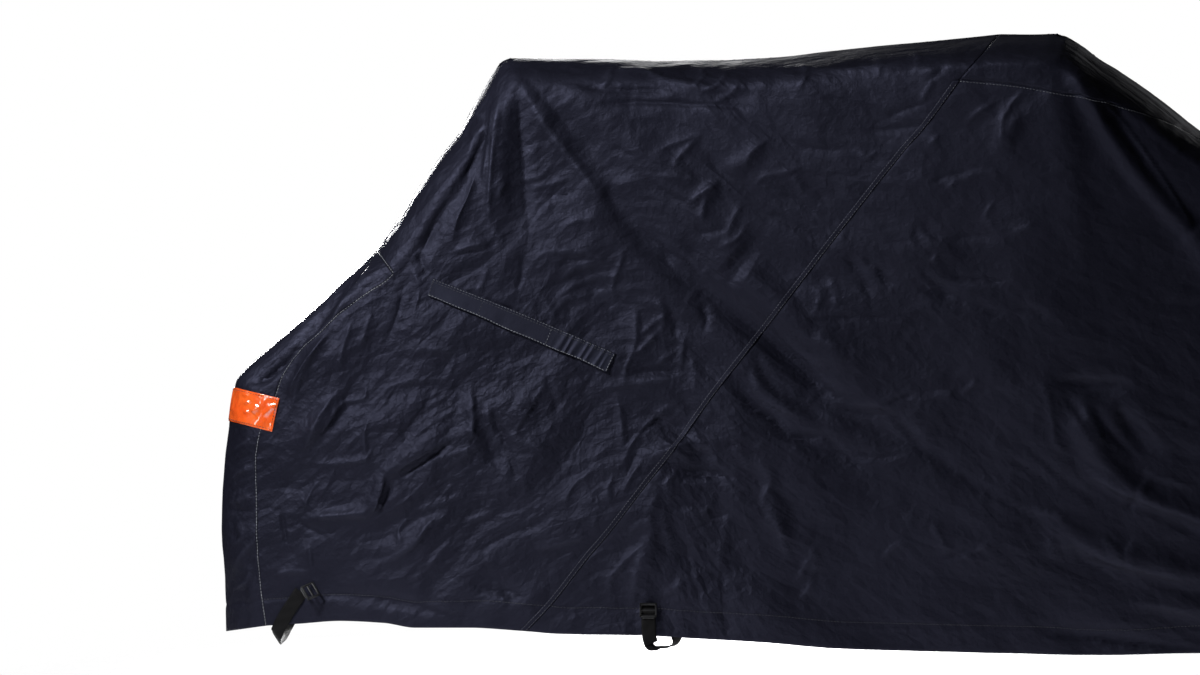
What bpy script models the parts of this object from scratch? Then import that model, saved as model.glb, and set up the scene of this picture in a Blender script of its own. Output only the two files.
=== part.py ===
"""Fitted cover for a long two-wheeled cargo bicycle, as it hangs over the bicycle.

The cover is sewn from five cloths: a large rear cloth that goes over both sides, a strip let in
at the tail, two front cloths and a strip let in between those.  A flap, a reflective patch and
two straps with ladder-lock buckles are sewn on.

Frame: the origin is under the top, where the cloth rests on the saddle.  +X points forward and
+Z up, so the right-hand side, with the flap and the side strap, faces -Y.

Lengths are in millimetres, and become metres when a mesh is made.  Places on the cloth are given
in the side drawing: u forward of the saddle and w above it, as they appear from 4 m to the right
on the centre plane.  `true_place` takes the drawing's perspective out again.
"""

import math

import bmesh
import bpy
import numpy as np
from mathutils import Matrix, Vector
from mathutils.bvhtree import BVHTree

MM = 0.001

# Driving sizes
CLOTH_THICKNESS = 1.5
PATCH_THICKNESS = 1.2
FLAP_THICKNESS = 2.0
WEBBING_WIDTH = 20.0
WEBBING_THICKNESS = 1.6
SEAM_GAP = 1.5          # between the edges of two cloths that are sewn together
SEAT_GAP = 0.45         # between a sewn-on piece and the cloth that it lies on
SEAT_GAP_WIDE = 0.9     # the same for a piece that bends with the cloth
SEAT_REACH = 40.0       # how far off a piece may start before it is seated
RIDGE_DEPTH = 45.0      # how far below the top edge the cloth has turned to hang straight down
FOLD_FADE = 55.0        # how far from the top edge the folds have their full height
FOLD_START_SHARE = 0.12  # share of a fold's length over which it rises from nothing
FOLD_END_SHARE = 0.16   # share over which it runs out again
MERGE_DISTANCE = 0.00001

# The side drawing's viewpoint
VIEW_DISTANCE = 4000.0
VIEW_U = 132.0
VIEW_W = -407.0

# Grid sizes: rows of faces down the top strip and the side, columns along the cover
CAP_ROWS = 4
SIDE_ROWS = 20
SLOPE_COLUMNS = 8
CREST_COLUMNS = 30
FRONT_COLUMNS = 34
FAR_STEP = 2            # the far side, which hangs plainly, has half the rows
ROW_CROWDING = 1.4      # rows lie closer together near the top
CORNER_PASSES = 10      # how often the grid is evened out at the tail corner
SHORT_EDGE_STEPS = 36   # straight steps that stand for one stretch of the outline
LONG_EDGE_STEPS = 120

# Outline of the cover in the side drawing, as (u, w)
TAIL_SLOPE_EDGE = [
    (-195, -280), (-234, -314), (-278, -355), (-322, -395), (-363, -431), (-386, -453),
    (-400, -469), (-404, -484), (-409, -510),
]
TAIL_DROP_EDGE = [
    (-409, -510), (-416, -579), (-421, -645), (-422, -696), (-417, -762), (-414, -837),
]
REAR_EDGE = [
    (-195, -280), (-161, -229), (-132, -184), (-101, -141), (-72, -103), (-60, -78), (-44, -52),
    (-25, -21), (-10, -2), (3, 2), (73, 1), (146, 1), (220, -2), (307, -1), (395, 4), (483, 14),
    (600, 26), (717, 37),
]
FRONT_EDGE = [
    (717, 37), (761, 37), (799, 38), (817, 33), (834, 23), (864, 1), (893, -17), (952, -58),
    (1009, -103), (1180, -215), (1290, -286), (1335, -305), (1480, -320), (1625, -314),
    (1670, -326), (1800, -384), (1930, -440), (2040, -496),
]
NOSE_EDGE = [(2040, -496), (2105, -552), (2145, -630), (2163, -740), (2167, -868)]

# Seams, and the hem from the tail to the nose
TAIL_SLOPE_SEAM = [
    (-170, -314), (-184, -327), (-208, -342), (-249, -373), (-277, -400), (-309, -428),
    (-330, -459), (-346, -500),
]
TAIL_DROP_SEAM = [(-346, -500), (-366, -548), (-372, -590), (-371, -650), (-368, -735), (-357, -829)]
CAP_FOOT = [
    (-170, -314), (-119, -256), (-58, -169), (-16, -107), (24, -58), (73, -50), (146, -51),
    (220, -55), (307, -55), (395, -52), (483, -44), (600, -34), (659, -29),
]
DIAGONAL_SEAM = [
    (659, -29), (607, -99), (579, -131), (529, -193), (479, -257), (419, -335), (358, -414),
    (300, -488), (243, -567), (192, -632), (145, -693), (115, -728), (60, -798), (23, -837),
]
TOP_SEAM = [
    (659, -29), (741, -37), (805, -48), (865, -59), (922, -76), (969, -94), (1012, -117),
    (1180, -230), (1290, -303), (1335, -322), (1480, -338), (1625, -333), (1670, -345),
    (1800, -405), (1920, -465), (2010, -515),
]
NOSE_SEAM = [(2010, -515), (2062, -575), (2092, -650), (2106, -750), (2109, -866)]
REAR_HEM = [
    (-357, -829), (-307, -826), (-249, -822), (-184, -825), (-138, -832), (-59, -832),
    (23, -837),
]
FRONT_HEM = [
    (23, -837), (73, -841), (190, -843), (261, -847), (378, -854), (471, -862), (589, -866),
    (729, -869), (870, -872), (1009, -869), (1300, -872), (1600, -868), (1850, -871),
    (2109, -866),
]

# Half-width of the cover along its length: at the saddle's height, how far its side bulges
# halfway down, and at the hem
SECTIONS = [
    # u, top, bulge, hem
    (-430, 34, 2, 52),
    (-330, 50, 0, 82),
    (-200, 66, -4, 116),
    (0, 84, -10, 150),
    (200, 122, -12, 166),
    (450, 186, -18, 182),
    (650, 250, -14, 196),
    (800, 288, -8, 210),
    (1000, 300, -4, 230),
    (1300, 306, 2, 250),
    (1650, 300, 2, 244),
    (1850, 236, 0, 206),
    (2050, 150, 2, 150),
    (2170, 62, 0, 84),
]
SECTION_HEM_W = -860.0

# Main folds of the right-hand side.  Each runs from (u0, w0) to (u1, w1), bowed to its left by
# `bow`, and stands h0 to h1 out of the cloth; a negative height is a trough.
FOLDS = [
    # name, u0, w0, u1, w1, bow, width, h0, h1
    ("saddle_drop", -6, -12, -29, -282, 4, 20, 9, 5),
    ("saddle_drop_foot", -26, -251, -94, -296, 0, 22, 4, 2),
    ("saddle_trough", 0, -24, 15, -352, 9, 13, -8, -4),
    ("saddle_plane", 15, -23, 158, -223, -9, 22, 6, 4),
    ("main_trough_top", 12, -18, 149, -195, 9, 17, -9, -11),
    ("main_trough_mid", 138, -182, 285, -337, -12, 19, -11, -12),
    ("main_trough_seam", 274, -326, 461, -481, 6, 20, -12, -11),
    ("main_trough_low", 447, -475, 593, -563, -6, 20, -10, -9),
    ("main_trough_end", 578, -554, 732, -645, 0, 22, -8, -4),
    ("main_ridge_upper", 73, -36, 337, -291, 12, 30, 3, 7),
    ("main_ridge_lower", 337, -305, 571, -498, -6, 24, 7, 5),
    ("tail_side_trough", -31, -90, -70, -185, 6, 13, -5, -8),
    ("tail_side_low", -70, -185, -155, -296, 6, 14, -8, -3),
    ("tail_side_ridge", -47, -132, -102, -279, -4, 16, 4, 5),
    ("pinch", -61, -90, -66, -125, 0, 9, -6, -6),
    ("ridge_shadow", 73, -21, 366, -55, -4, 16, -4, -4),
    ("ridge_shadow_fwd", 366, -36, 615, -10, 3, 16, -4, -3),
    ("bar_end_ridge", 817, 5, 1007, -261, -15, 15, 12, 14),
    ("bar_end_run", 998, -247, 1157, -498, 0, 20, 12, 4),
    ("bar_end_trough", 875, -59, 1013, -258, -12, 11, -6, -9),
    ("bar_end_face", 791, -15, 842, -352, 7, 26, 6, 3),
    ("rack_facet", -252, -478, -310, -583, 0, 15, 5, 5),
    ("rack_crease", -211, -466, -309, -580, 9, 12, -4, -5),
    ("double_crease_a", -81, -525, -187, -604, 4, 10, 6, 6),
    ("double_crease_b", -187, -604, -205, -658, 0, 10, 6, 6),
    ("double_crease_c", -205, -658, -302, -667, 4, 11, 6, 4),
    ("double_trough", -70, -545, -182, -630, 4, 11, -5, -5),
    ("low_rear_a", -94, -658, -203, -733, 6, 12, 5, 5),
    ("low_rear_b", 102, -686, 13, -711, 0, 12, 5, 4),
    ("low_rear_hem", -297, -777, -78, -804, 0, 12, -5, -4),
    ("low_rear_hem_b", -59, -747, 29, -788, 0, 13, -5, -5),
    ("rear_upright", -66, -475, -66, -573, 7, 11, 5, 4),
    ("rear_slant", 37, -475, -18, -557, 0, 12, 5, 4),
    ("rear_trough", -38, -513, -7, -620, -4, 12, -5, -4),
    ("star_arm_a", 307, -176, 378, -118, 0, 13, 5, 3),
    ("star_arm_b", 307, -176, 274, -213, 0, 13, 5, 3),
    ("star_trough", 244, -255, 310, -329, 0, 13, -5, -5),
    ("flap_creases", 73, -296, 184, -396, 6, 15, -4, -5),
    ("patch_ridge", 193, -586, 300, -557, 0, 16, 7, 7),
    ("patch_edge", 212, -645, 187, -797, 4, 13, 7, 6),
    ("patch_trough", 244, -601, 334, -610, 0, 12, -5, -4),
    ("mid_fall", 359, -567, 410, -736, 4, 13, 6, 5),
    ("bundle_a", 321, -463, 512, -595, -15, 14, -7, -6),
    ("bundle_b", 350, -428, 501, -516, -15, 13, -6, -5),
    ("bundle_ridge", 340, -449, 501, -554, -15, 10, 5, 5),
    ("front_arc_a", 599, -332, 697, -370, 4, 13, -5, -4),
    ("front_arc_b", 589, -258, 668, -296, 4, 13, 5, 4),
    ("front_fall", 747, -68, 714, -147, 0, 13, 5, 4),
    ("dark_pocket", 814, -475, 899, -484, 0, 13, -8, -8),
    ("low_front_a", 817, -498, 925, -639, -12, 18, 12, 13),
    ("low_front_a2", 916, -633, 1083, -703, -6, 19, 13, 10),
    ("low_front_a_cut", 887, -498, 960, -589, -9, 13, -8, -8),
    ("low_front_b", 773, -657, 909, -733, -6, 17, 8, 10),
    ("low_front_b2", 899, -727, 1098, -777, 0, 18, 10, 8),
    ("low_front_b_cut", 864, -624, 1069, -715, 0, 12, -7, -8),
    ("low_front_c", 908, -780, 1098, -824, 0, 16, 7, 7),
    ("low_front_hem", 741, -828, 998, -851, -4, 13, -5, -5),
    ("box_corner", 1200, -228, 1222, -528, 9, 26, 9, 3),
    ("box_drape", 1303, -264, 1362, -733, 12, 34, -8, -4),
    ("box_drape_b", 1479, -279, 1508, -703, -12, 36, -8, -5),
    ("box_front", 1632, -272, 1669, -616, 9, 26, 8, 3),
    ("wheel_drape", 1157, -528, 1332, -791, -9, 30, -7, -4),
    ("nose_drape", 1728, -337, 1808, -791, 12, 28, -6, -6),
    ("nose_ridge", 1874, -381, 1947, -821, 12, 22, 5, 5),
]

# Plain folds of the left-hand side
FAR_FOLDS = [
    # name, u0, w0, u1, w1, bow, width, h0, h1
    ("far_saddle_drop", -6, -14, -60, -420, 8, 34, 7, 3),
    ("far_main_trough", 16, -20, 560, -560, 14, 34, -8, -9),
    ("far_main_ridge", 90, -40, 560, -440, 14, 40, 4, 6),
    ("far_bar_drop", 815, -4, 1010, -330, -16, 30, 10, 8),
    ("far_low_rear", -60, -520, -300, -690, 6, 30, 5, 5),
    ("far_low_front", 800, -520, 1180, -720, -14, 36, 9, 8),
    ("far_box_corner", 1200, -228, 1222, -528, 9, 40, 8, 3),
    ("far_box_drape", 1320, -270, 1370, -740, 10, 44, -8, -5),
    ("far_nose_drape", 1740, -350, 1810, -790, 10, 44, -6, -6),
]

# Flap: the ends of its sewn top edge and of its free bottom edge
FLAP_TOP = [(-113, -320), (21, -373), (155, -430)]
FLAP_BOTTOM = [(-120, -346), (12, -401), (142, -458)]
FLAP_COLUMNS = 30
FLAP_ROWS = 4
FLAP_PROUD = 3.5        # how far the free edge stands out
FLAP_GATHER_START = 0.66  # share of its length where the gathers begin
FLAP_GATHER_END = 0.985
FLAP_GATHER_RUN = 0.06  # share over which the gathers grow
FLAP_GATHER_HELD = 0.3  # height of the gathers at the sewn edge, as a share of that at the free
FLAP_GATHERS = 8
FLAP_GATHER_HEIGHT = 1.1

# Reflective patch: its right-hand edge, and where it crosses the tail edge
PATCH_NEAR = [(-337, -496), (-348, -545)]
PATCH_CENTRE = [(-403, -480), (-411, -529)]
PATCH_DROP = 16.0       # how far its near edge lies below its crossing of the tail edge
PATCH_ROWS = 5

# Side strap: outside the cloth, round the hem and up inside it.  `out` is how far the webbing's
# middle lies outside the cloth's face, and `turn` how far its width has turned inwards.
SIDE_STRAP = [
    # u, w, out, turn in degrees
    (203, -796, 1.5, 0),
    (203, -820, 1.5, 0),
    (203.5, -838, 1.5, 0),
    (204.5, -847, 1.5, 3),
    (208, -857, -1.0, 42),
    (216, -860, -4.0, 72),
    (227, -860, -7.0, 86),
    (237, -857, -9.5, 72),
    (243, -849, -11.5, 48),
    (245, -836, -11.5, 28),
    (245, -818, -7.5, 8),
    (245, -798, -3.4, 0),
    (245, -776, -3.4, 0),
]
SIDE_STRAP_STEPS = 32
SIDE_STRAP_HEM_W = -843.0
SIDE_STRAP_SEATED_Z = -831.0    # above this the strap lies on the cloth

# Rear strap, in true places: from its buckle down the near side, round behind the wheel and up
# inside the far hem.  Above the hem it is seated on the cloth.
REAR_STRAP = [
    # x, y, z
    (-296, -80, -771),
    (-306, -79, -786),
    (-316, -78, -801),
    (-325, -77, -817),
    (-331, -77, -829),
    (-335, -58, -840),
    (-337, -26, -845),
    (-338, 0, -846),
    (-337, 24, -845),
    (-335, 48, -840),
    (-331, 66, -828),
    (-325, 71, -816),
    (-316, 73, -800),
    (-308, 74, -786),
]
REAR_STRAP_STEPS = 40
REAR_STRAP_SEATED_Z = -830.0
REAR_STRAP_WIDTH_DIRECTION = (0.54, 0.0, -0.84)

BUCKLE_WIDTH = 24.0
BUCKLE_LENGTH = 20.0
BUCKLE_THICKNESS = 3.2
BUCKLE_RAIL = 2.4
BUCKLE_SLOT = 5.2
BUCKLE_SLOT_PLACE = 4.4     # from the buckle's middle to the middle of either slot
BUCKLE_BEVEL = 0.6
BUCKLE_START = 20.0         # how far outside the cloth a buckle starts before it is laid down
SIDE_BUCKLE_PLACE = (202.5, -806)
REAR_BUCKLE_PLACE = (-293, -779)
REAR_BUCKLE_WIDTH_DIRECTION = (0.50, -0.46, -0.73)
REAR_BUCKLE_FACE = (0.2, -0.86, 0.40)

MATERIALS = {
    # name: colour, roughness
    "cloth": ((0.020, 0.022, 0.034, 1.0), 0.48),
    "flap_cloth": ((0.022, 0.024, 0.036, 1.0), 0.5),
    "reflector": ((0.95, 0.14, 0.02, 1.0), 0.22),
    "webbing": ((0.012, 0.012, 0.015, 1.0), 0.7),
    "buckle": ((0.015, 0.015, 0.017, 1.0), 0.38),
}


# ---------------------------------------------------------------- curves


def slopes(x, y):
    """Slopes of a curve through (x, y) that doesn't overshoot its points."""
    step = np.diff(x)
    rise = np.diff(y) / step
    inner = np.where(
        rise[:-1] * rise[1:] > 0,
        2 * rise[:-1] * rise[1:] / np.where(rise[:-1] + rise[1:] == 0, 1, rise[:-1] + rise[1:]),
        0.0,
    )
    return np.concatenate([rise[:1], inner, rise[-1:]])


def smooth(at, x, y):
    """The smooth curve through the points (x, y), read at `at`."""
    x = np.asarray(x, float)
    y = np.asarray(y, float)
    at = np.clip(at, x[0], x[-1])
    m = slopes(x, y)
    i = np.clip(np.searchsorted(x, at, side="right") - 1, 0, len(x) - 2)
    h = x[i + 1] - x[i]
    t = (at - x[i]) / h
    return (
        y[i] * (1 + 2 * t) * (1 - t) ** 2
        + m[i] * h * t * (1 - t) ** 2
        + y[i + 1] * t * t * (3 - 2 * t)
        + m[i + 1] * h * t * t * (t - 1)
    )


def along(points, share):
    """Places on the smooth curve through `points`, at shares 0 to 1 of its length."""
    points = np.asarray(points, float)
    length = np.concatenate([[0], np.cumsum(np.linalg.norm(np.diff(points, axis=0), axis=1))])
    at = np.asarray(share, float) * length[-1]
    return np.stack([smooth(at, length, points[:, k]) for k in range(points.shape[1])], axis=-1)


def ease(t):
    """0 below 0, 1 above 1, and a soft step between."""
    t = np.clip(t, 0.0, 1.0)
    return t * t * (3 - 2 * t)


def unit(vectors):
    """Vectors scaled to length 1."""
    return vectors / np.linalg.norm(vectors, axis=-1, keepdims=True)


# ---------------------------------------------------------------- the draped surface


OUTLINE = np.concatenate([
    along(TAIL_DROP_EDGE, np.linspace(1, 0, SHORT_EDGE_STEPS))[:-1],
    along(TAIL_SLOPE_EDGE, np.linspace(1, 0, SHORT_EDGE_STEPS))[:-1],
    along(REAR_EDGE, np.linspace(0, 1, LONG_EDGE_STEPS))[:-1],
    along(FRONT_EDGE, np.linspace(0, 1, LONG_EDGE_STEPS))[:-1],
    along(NOSE_EDGE, np.linspace(0, 1, SHORT_EDGE_STEPS)),
])


def from_outline(u, w):
    """Distance from each place to the cover's top edge in the side drawing."""
    start = OUTLINE[:-1]
    step = np.diff(OUTLINE, axis=0)
    place = np.stack([np.ravel(u), np.ravel(w)], axis=-1)[:, None, :]
    share = np.sum((place - start) * step, axis=2) / np.sum(step * step, axis=1)
    nearest = start + np.clip(share, 0, 1)[..., None] * step
    return np.min(np.linalg.norm(place - nearest, axis=2), axis=1).reshape(np.shape(u))


def fold_height(u, w, folds):
    """Sum of the folds' heights at each place."""
    total = np.zeros(np.shape(u))
    for _name, u0, w0, u1, w1, bow, width, h0, h1 in folds:
        length = math.hypot(u1 - u0, w1 - w0)
        du, dw = (u1 - u0) / length, (w1 - w0) / length
        share = ((u - u0) * du + (w - w0) * dw) / length
        inside = np.clip(share, 0, 1)
        aside = (w - w0) * du - (u - u0) * dw - bow * 4 * inside * (1 - inside)
        beyond = (share - inside) * length
        fade = ease(inside / FOLD_START_SHARE) * ease((1 - inside) / FOLD_END_SHARE)
        height = h0 + (h1 - h0) * inside
        total += height * fade * np.exp(-(aside**2 + beyond**2) / width**2)
    return total


def half_width(u, w, folds):
    """How far the cloth's outer face stands from the centre plane."""
    rows = np.array(SECTIONS, float)
    top, bulge, hem = (smooth(u, rows[:, 0], rows[:, k]) for k in (1, 2, 3))
    down = np.clip(w / SECTION_HEM_W, -0.1, 1.05)
    full = top + (hem - top) * down + bulge * 4 * down * (1 - down)
    depth = from_outline(u, w)
    turned = np.clip(depth / RIDGE_DEPTH, 0, 1)
    rounding = np.sqrt(1 - (1 - turned) ** 2)
    return full * rounding + fold_height(u, w, folds) * ease(depth / FOLD_FADE)


def true_place(u, w, out):
    """Place in the cover's frame of a place in the side drawing, `out` from the centre plane."""
    near = 1 - out / VIEW_DISTANCE
    x = VIEW_U + (u - VIEW_U) * near
    z = VIEW_W + (w - VIEW_W) * near
    return np.stack([x, -out, z], axis=-1)


def near_side(drawn, raised=0.0):
    """Places of the right-hand cloth's outer face, for places (u, w) in the side drawing."""
    u, w = drawn[..., 0], drawn[..., 1]
    return true_place(u, w, half_width(u, w, FOLDS) + raised)


def far_side(drawn):
    """The left-hand cloth's outer face: the same drawing, mirrored."""
    u, w = drawn[..., 0], drawn[..., 1]
    return true_place(u, w, half_width(u, w, FAR_FOLDS)) * (1, -1, 1)


# ---------------------------------------------------------------- meshes


def material(name):
    """The named finish, made once."""
    if name in bpy.data.materials:
        return bpy.data.materials[name]
    colour, roughness = MATERIALS[name]
    made = bpy.data.materials.new(name)
    made.use_nodes = True
    shader = made.node_tree.nodes["Principled BSDF"]
    shader.inputs["Base Color"].default_value = colour
    shader.inputs["Roughness"].default_value = roughness
    shader.inputs["Metallic"].default_value = 0.0
    return made


def put_in_collection(name, mesh, finish, collection):
    """An object of its own for a mesh."""
    mesh.materials.append(material(finish))
    piece = bpy.data.objects.new(name, mesh)
    collection.objects.link(piece)
    return piece


def add_grid(bm, places):
    """Add a grid moved to `places` (rows x columns x 3); its face is towards columns x rows."""
    rows, columns = places.shape[0] - 1, places.shape[1] - 1
    verts = bmesh.ops.create_grid(bm, x_segments=columns, y_segments=rows, size=0.5)["verts"]
    flat = np.array([vert.co[:2] for vert in verts])
    column = np.rint((flat[:, 0] + 0.5) * columns).astype(int)
    row = np.rint((flat[:, 1] + 0.5) * rows).astype(int)
    for vert, place in zip(verts, places[row, column] * MM):
        vert.co = place


def sheet(name, grids, thickness, finish, collection):
    """A cloth of one or more grids that share edges, with its thickness inside."""
    bm = bmesh.new()
    for places in grids:
        add_grid(bm, places)
    bmesh.ops.remove_doubles(bm, verts=bm.verts, dist=MERGE_DISTANCE)
    mesh = bpy.data.meshes.new(name)
    bm.to_mesh(mesh)
    bm.free()
    mesh.shade_smooth()
    piece = put_in_collection(name, mesh, finish, collection)
    wall = piece.modifiers.new("Thickness", "SOLIDIFY")
    wall.thickness = thickness * MM
    wall.offset = -1.0
    return piece


def draw_back(places, first_row=True, last_row=True, first_column=True, last_column=True):
    """Draw sewn edges back from their seams by half the gap, square to the edge."""
    moved = places.copy()

    def pull(edge, inner):
        run = unit(np.gradient(edge, axis=0))
        step = inner - edge
        step = unit(step - run * np.sum(step * run, axis=-1, keepdims=True))
        return edge + step * SEAM_GAP / 2

    if first_row:
        moved[0] = pull(moved[0], moved[1])
    if last_row:
        moved[-1] = pull(moved[-1], moved[-2])
    if first_column:
        moved[:, 0] = pull(moved[:, 0], moved[:, 1])
    if last_column:
        moved[:, -1] = pull(moved[:, -1], moved[:, -2])
    return moved


def cap_shares():
    """Shares of the way from the top edge to the cap's foot, close together at the top."""
    return 1 - np.cos(np.linspace(0, math.pi / 2, CAP_ROWS + 1))


def side_shares(count):
    """Shares of the way down a side, closer together near the top."""
    return np.linspace(0, 1, count + 1) ** ROW_CROWDING


def on_far_steps(places, count):
    """Read a row of far places at `count` shares along the straight lines between them."""
    fine = side_shares(count)
    coarse = side_shares(len(places) - 1)
    return np.stack([np.interp(fine, coarse, places[:, k]) for k in range(3)], axis=-1)


def coons(top, bottom, left, right, across, down):
    """Fill a four-sided piece of the drawing from its edges.

    top and bottom have a place for each share in `across`; left and right for each in `down`.
    """
    p = across[None, :, None]
    q = down[:, None, None]
    ruled = (1 - q) * top[None] + q * bottom[None] + (1 - p) * left[:, None] + p * right[:, None]
    corners = (
        (1 - p) * (1 - q) * top[0] + p * (1 - q) * top[-1]
        + (1 - p) * q * bottom[0] + p * q * bottom[-1]
    )
    return ruled - corners


def rear_side_drawing(side_rows):
    """Side drawing of the rear cloth's side, below the tail strip and the turned top edge."""
    columns = SLOPE_COLUMNS + CREST_COLUMNS
    slope = along(TAIL_SLOPE_SEAM[::-1], np.linspace(0, 1, SLOPE_COLUMNS + 1))
    crest = along(CAP_FOOT, np.linspace(0, 1, CREST_COLUMNS + 1))
    across = np.linspace(0, 1, columns + 1)
    down = side_shares(side_rows)
    drawn = coons(
        np.concatenate([slope, crest[1:]]), along(REAR_HEM, across),
        along(TAIL_DROP_SEAM, down), along(DIAGONAL_SEAM, down), across, down,
    )
    return relax_corner(drawn, side_rows // 2, SLOPE_COLUMNS)


def relax_corner(drawn, rows, columns):
    """Even out a grid near its first corner, where its two edges run almost straight on."""
    for _ in range(CORNER_PASSES):
        beside = drawn[1:rows, :columns - 1] + drawn[1:rows, 2:columns + 1]
        above_below = drawn[: rows - 1, 1:columns] + drawn[2 : rows + 1, 1:columns]
        drawn[1:rows, 1:columns] = (beside + above_below) / 4
    return drawn


def rear_cap_drawing():
    """Side drawing of the rear cloth's turned top edge, from the edge down to its foot."""
    across = np.linspace(0, 1, CREST_COLUMNS + 1)
    cap = cap_shares()[:, None, None]
    return along(REAR_EDGE, across)[None] * (1 - cap) + along(CAP_FOOT, across)[None] * cap


def front_drawing(side_rows):
    """Side drawing of a front cloth, from the strip's seam to the hem."""
    across = np.linspace(0, 1, FRONT_COLUMNS + 1)
    down = side_shares(side_rows)
    return coons(
        along(TOP_SEAM, across), along(FRONT_HEM, across),
        along(DIAGONAL_SEAM, down), along(NOSE_SEAM, down), across, down,
    )


def make_rear(collection):
    """The rear cloth: two sides joined by the turned top edge."""
    near_cap = near_side(rear_cap_drawing())
    far_cap = far_side(rear_cap_drawing())
    near_cap[0] = far_cap[0] = near_cap[0] * (1, 0, 1)
    near = near_side(rear_side_drawing(SIDE_ROWS))
    far = far_side(rear_side_drawing(SIDE_ROWS // FAR_STEP))
    near, far = (draw_back(side, first_row=False, last_row=False) for side in (near, far))
    near_cap, far_cap = (draw_back(cap, first_row=False, last_row=False)
                         for cap in (near_cap, far_cap))
    for side, cap in ((near, near_cap), (far, far_cap)):
        slope_row = draw_back(side, last_row=False)[0, : SLOPE_COLUMNS + 1]
        side[0, :SLOPE_COLUMNS] = slope_row[:-1]
        side[0, SLOPE_COLUMNS:] = cap[-1]
    grids = [near[::-1], near_cap[::-1], far_cap, far]
    return sheet("body_rear", grids, CLOTH_THICKNESS, "cloth", collection)


def make_fronts(collection):
    """The two front cloths."""
    near = draw_back(near_side(front_drawing(SIDE_ROWS)), last_row=False)
    far = draw_back(far_side(front_drawing(SIDE_ROWS // FAR_STEP)), last_row=False)
    right = sheet("front_side_right", [near[::-1]], CLOTH_THICKNESS, "cloth", collection)
    sheet("front_side_left", [far], CLOTH_THICKNESS, "cloth", collection)
    return right


def strip(edges, seams, sloping):
    """Places of a let-in strip, closed round the top edge: rows run along it.

    edges and seams each hold the sloping stretch and the stretch that drops to the hem.
    """
    slope_share = np.linspace(0, 1, sloping + 1)
    drop_share = side_shares(SIDE_ROWS)
    edge, seam = (
        np.concatenate([along(slope, slope_share), along(drop, drop_share)[1:]])
        for slope, drop in (edges, seams)
    )
    cap = cap_shares()[None, :, None]
    drawn = edge[:, None] * (1 - cap) + seam[:, None] * cap
    near, far = near_side(drawn), far_side(drawn)
    far_drop = far_side(along(seams[1], side_shares(SIDE_ROWS // FAR_STEP)))
    slip = np.zeros_like(far[:, -1])
    slip[sloping:] = on_far_steps(far_drop, SIDE_ROWS) - far[sloping:, -1]
    far = far + slip[:, None] * cap
    middle = near[:, :1] * (1, 0, 1)
    places = np.concatenate([near[:, :0:-1], middle, far[:, 1:]], axis=1)
    return draw_back(places, last_row=False)


def make_tail(collection):
    """The tail strip, from the cross seam down to the hem."""
    places = strip(
        (TAIL_SLOPE_EDGE, TAIL_DROP_EDGE), (TAIL_SLOPE_SEAM, TAIL_DROP_SEAM), SLOPE_COLUMNS
    )
    return sheet("tail_gusset", [places], CLOTH_THICKNESS, "cloth", collection)


def make_top(collection):
    """The front strip, from the diagonal seam over the bars and the box, and down the nose."""
    places = strip((FRONT_EDGE, NOSE_EDGE), (TOP_SEAM, NOSE_SEAM), FRONT_COLUMNS)
    return sheet("front_top", [places[:, ::-1]], CLOTH_THICKNESS, "cloth", collection)


# ---------------------------------------------------------------- sewn-on pieces


def normals_of(places):
    """Unit normals of a grid of places, from its rows and columns."""
    by_row = np.gradient(places, axis=0)
    by_column = np.gradient(places, axis=1)
    normal = np.cross(by_column, by_row)
    return unit(normal)


def trees_of(carriers):
    """Search trees of the carriers' finished meshes."""
    bpy.context.view_layer.update()
    graph = bpy.context.evaluated_depsgraph_get()
    return [BVHTree.FromObject(carrier, graph) for carrier in carriers]


def drop(start, direction, trees):
    """How far it is from `start` to the first tree in that direction, or None."""
    hits = [tree.ray_cast(Vector(start * MM), Vector(direction), 1.0)[3] for tree in trees]
    hits = [hit / MM for hit in hits if hit is not None]
    return min(hits) if hits else None


def seat(places, outward, carriers, gap, chosen=None):
    """Move the chosen places along `outward` until they lie `gap` off the nearest carrier.

    Each place moves as far as the furthest of itself and its two neighbours along the row, so
    the piece bridges small hollows.  One with no carrier behind it, as over a seam, moves as far
    as the nearest that has one.
    """
    trees = trees_of(carriers)
    seated = places.copy()
    rows, columns = places.shape[:2]
    for row in range(rows):
        moves = {}
        wanted = [k for k in range(columns) if chosen is None or chosen[row, k]]
        for k in wanted:
            start = places[row, k] + outward[row, k] * SEAT_REACH
            found = drop(start, -outward[row, k], trees)
            if found is not None and found < 2 * SEAT_REACH:
                moves[k] = SEAT_REACH - found + gap
        for k in wanted:
            nearest = min(moves, key=lambda other: abs(other - k))
            beside = [moves[j] for j in (k - 1, k, k + 1) if j in moves]
            move = max([moves[nearest], *beside])
            seated[row, k] = places[row, k] + outward[row, k] * move
    return seated


def rest_on(piece, carriers, gap):
    """Slide a piece along Y until it lies `gap` off its carriers."""
    trees = trees_of(carriers)
    world = piece.matrix_world
    corners = [np.array(world @ vert.co) / MM for vert in piece.data.vertices]
    shares = np.linspace(0, 1, 9)
    tested = [a + (b - a) * share for a in corners for b in corners for share in shares]
    inward = np.array([0.0, 1.0, 0.0])
    room = [drop(place - inward * SEAT_REACH, inward, trees) for place in tested]
    nearest = min(found - SEAT_REACH for found in room if found is not None)
    piece.location.y += (nearest - gap) * MM
    bpy.context.view_layer.update()


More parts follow.
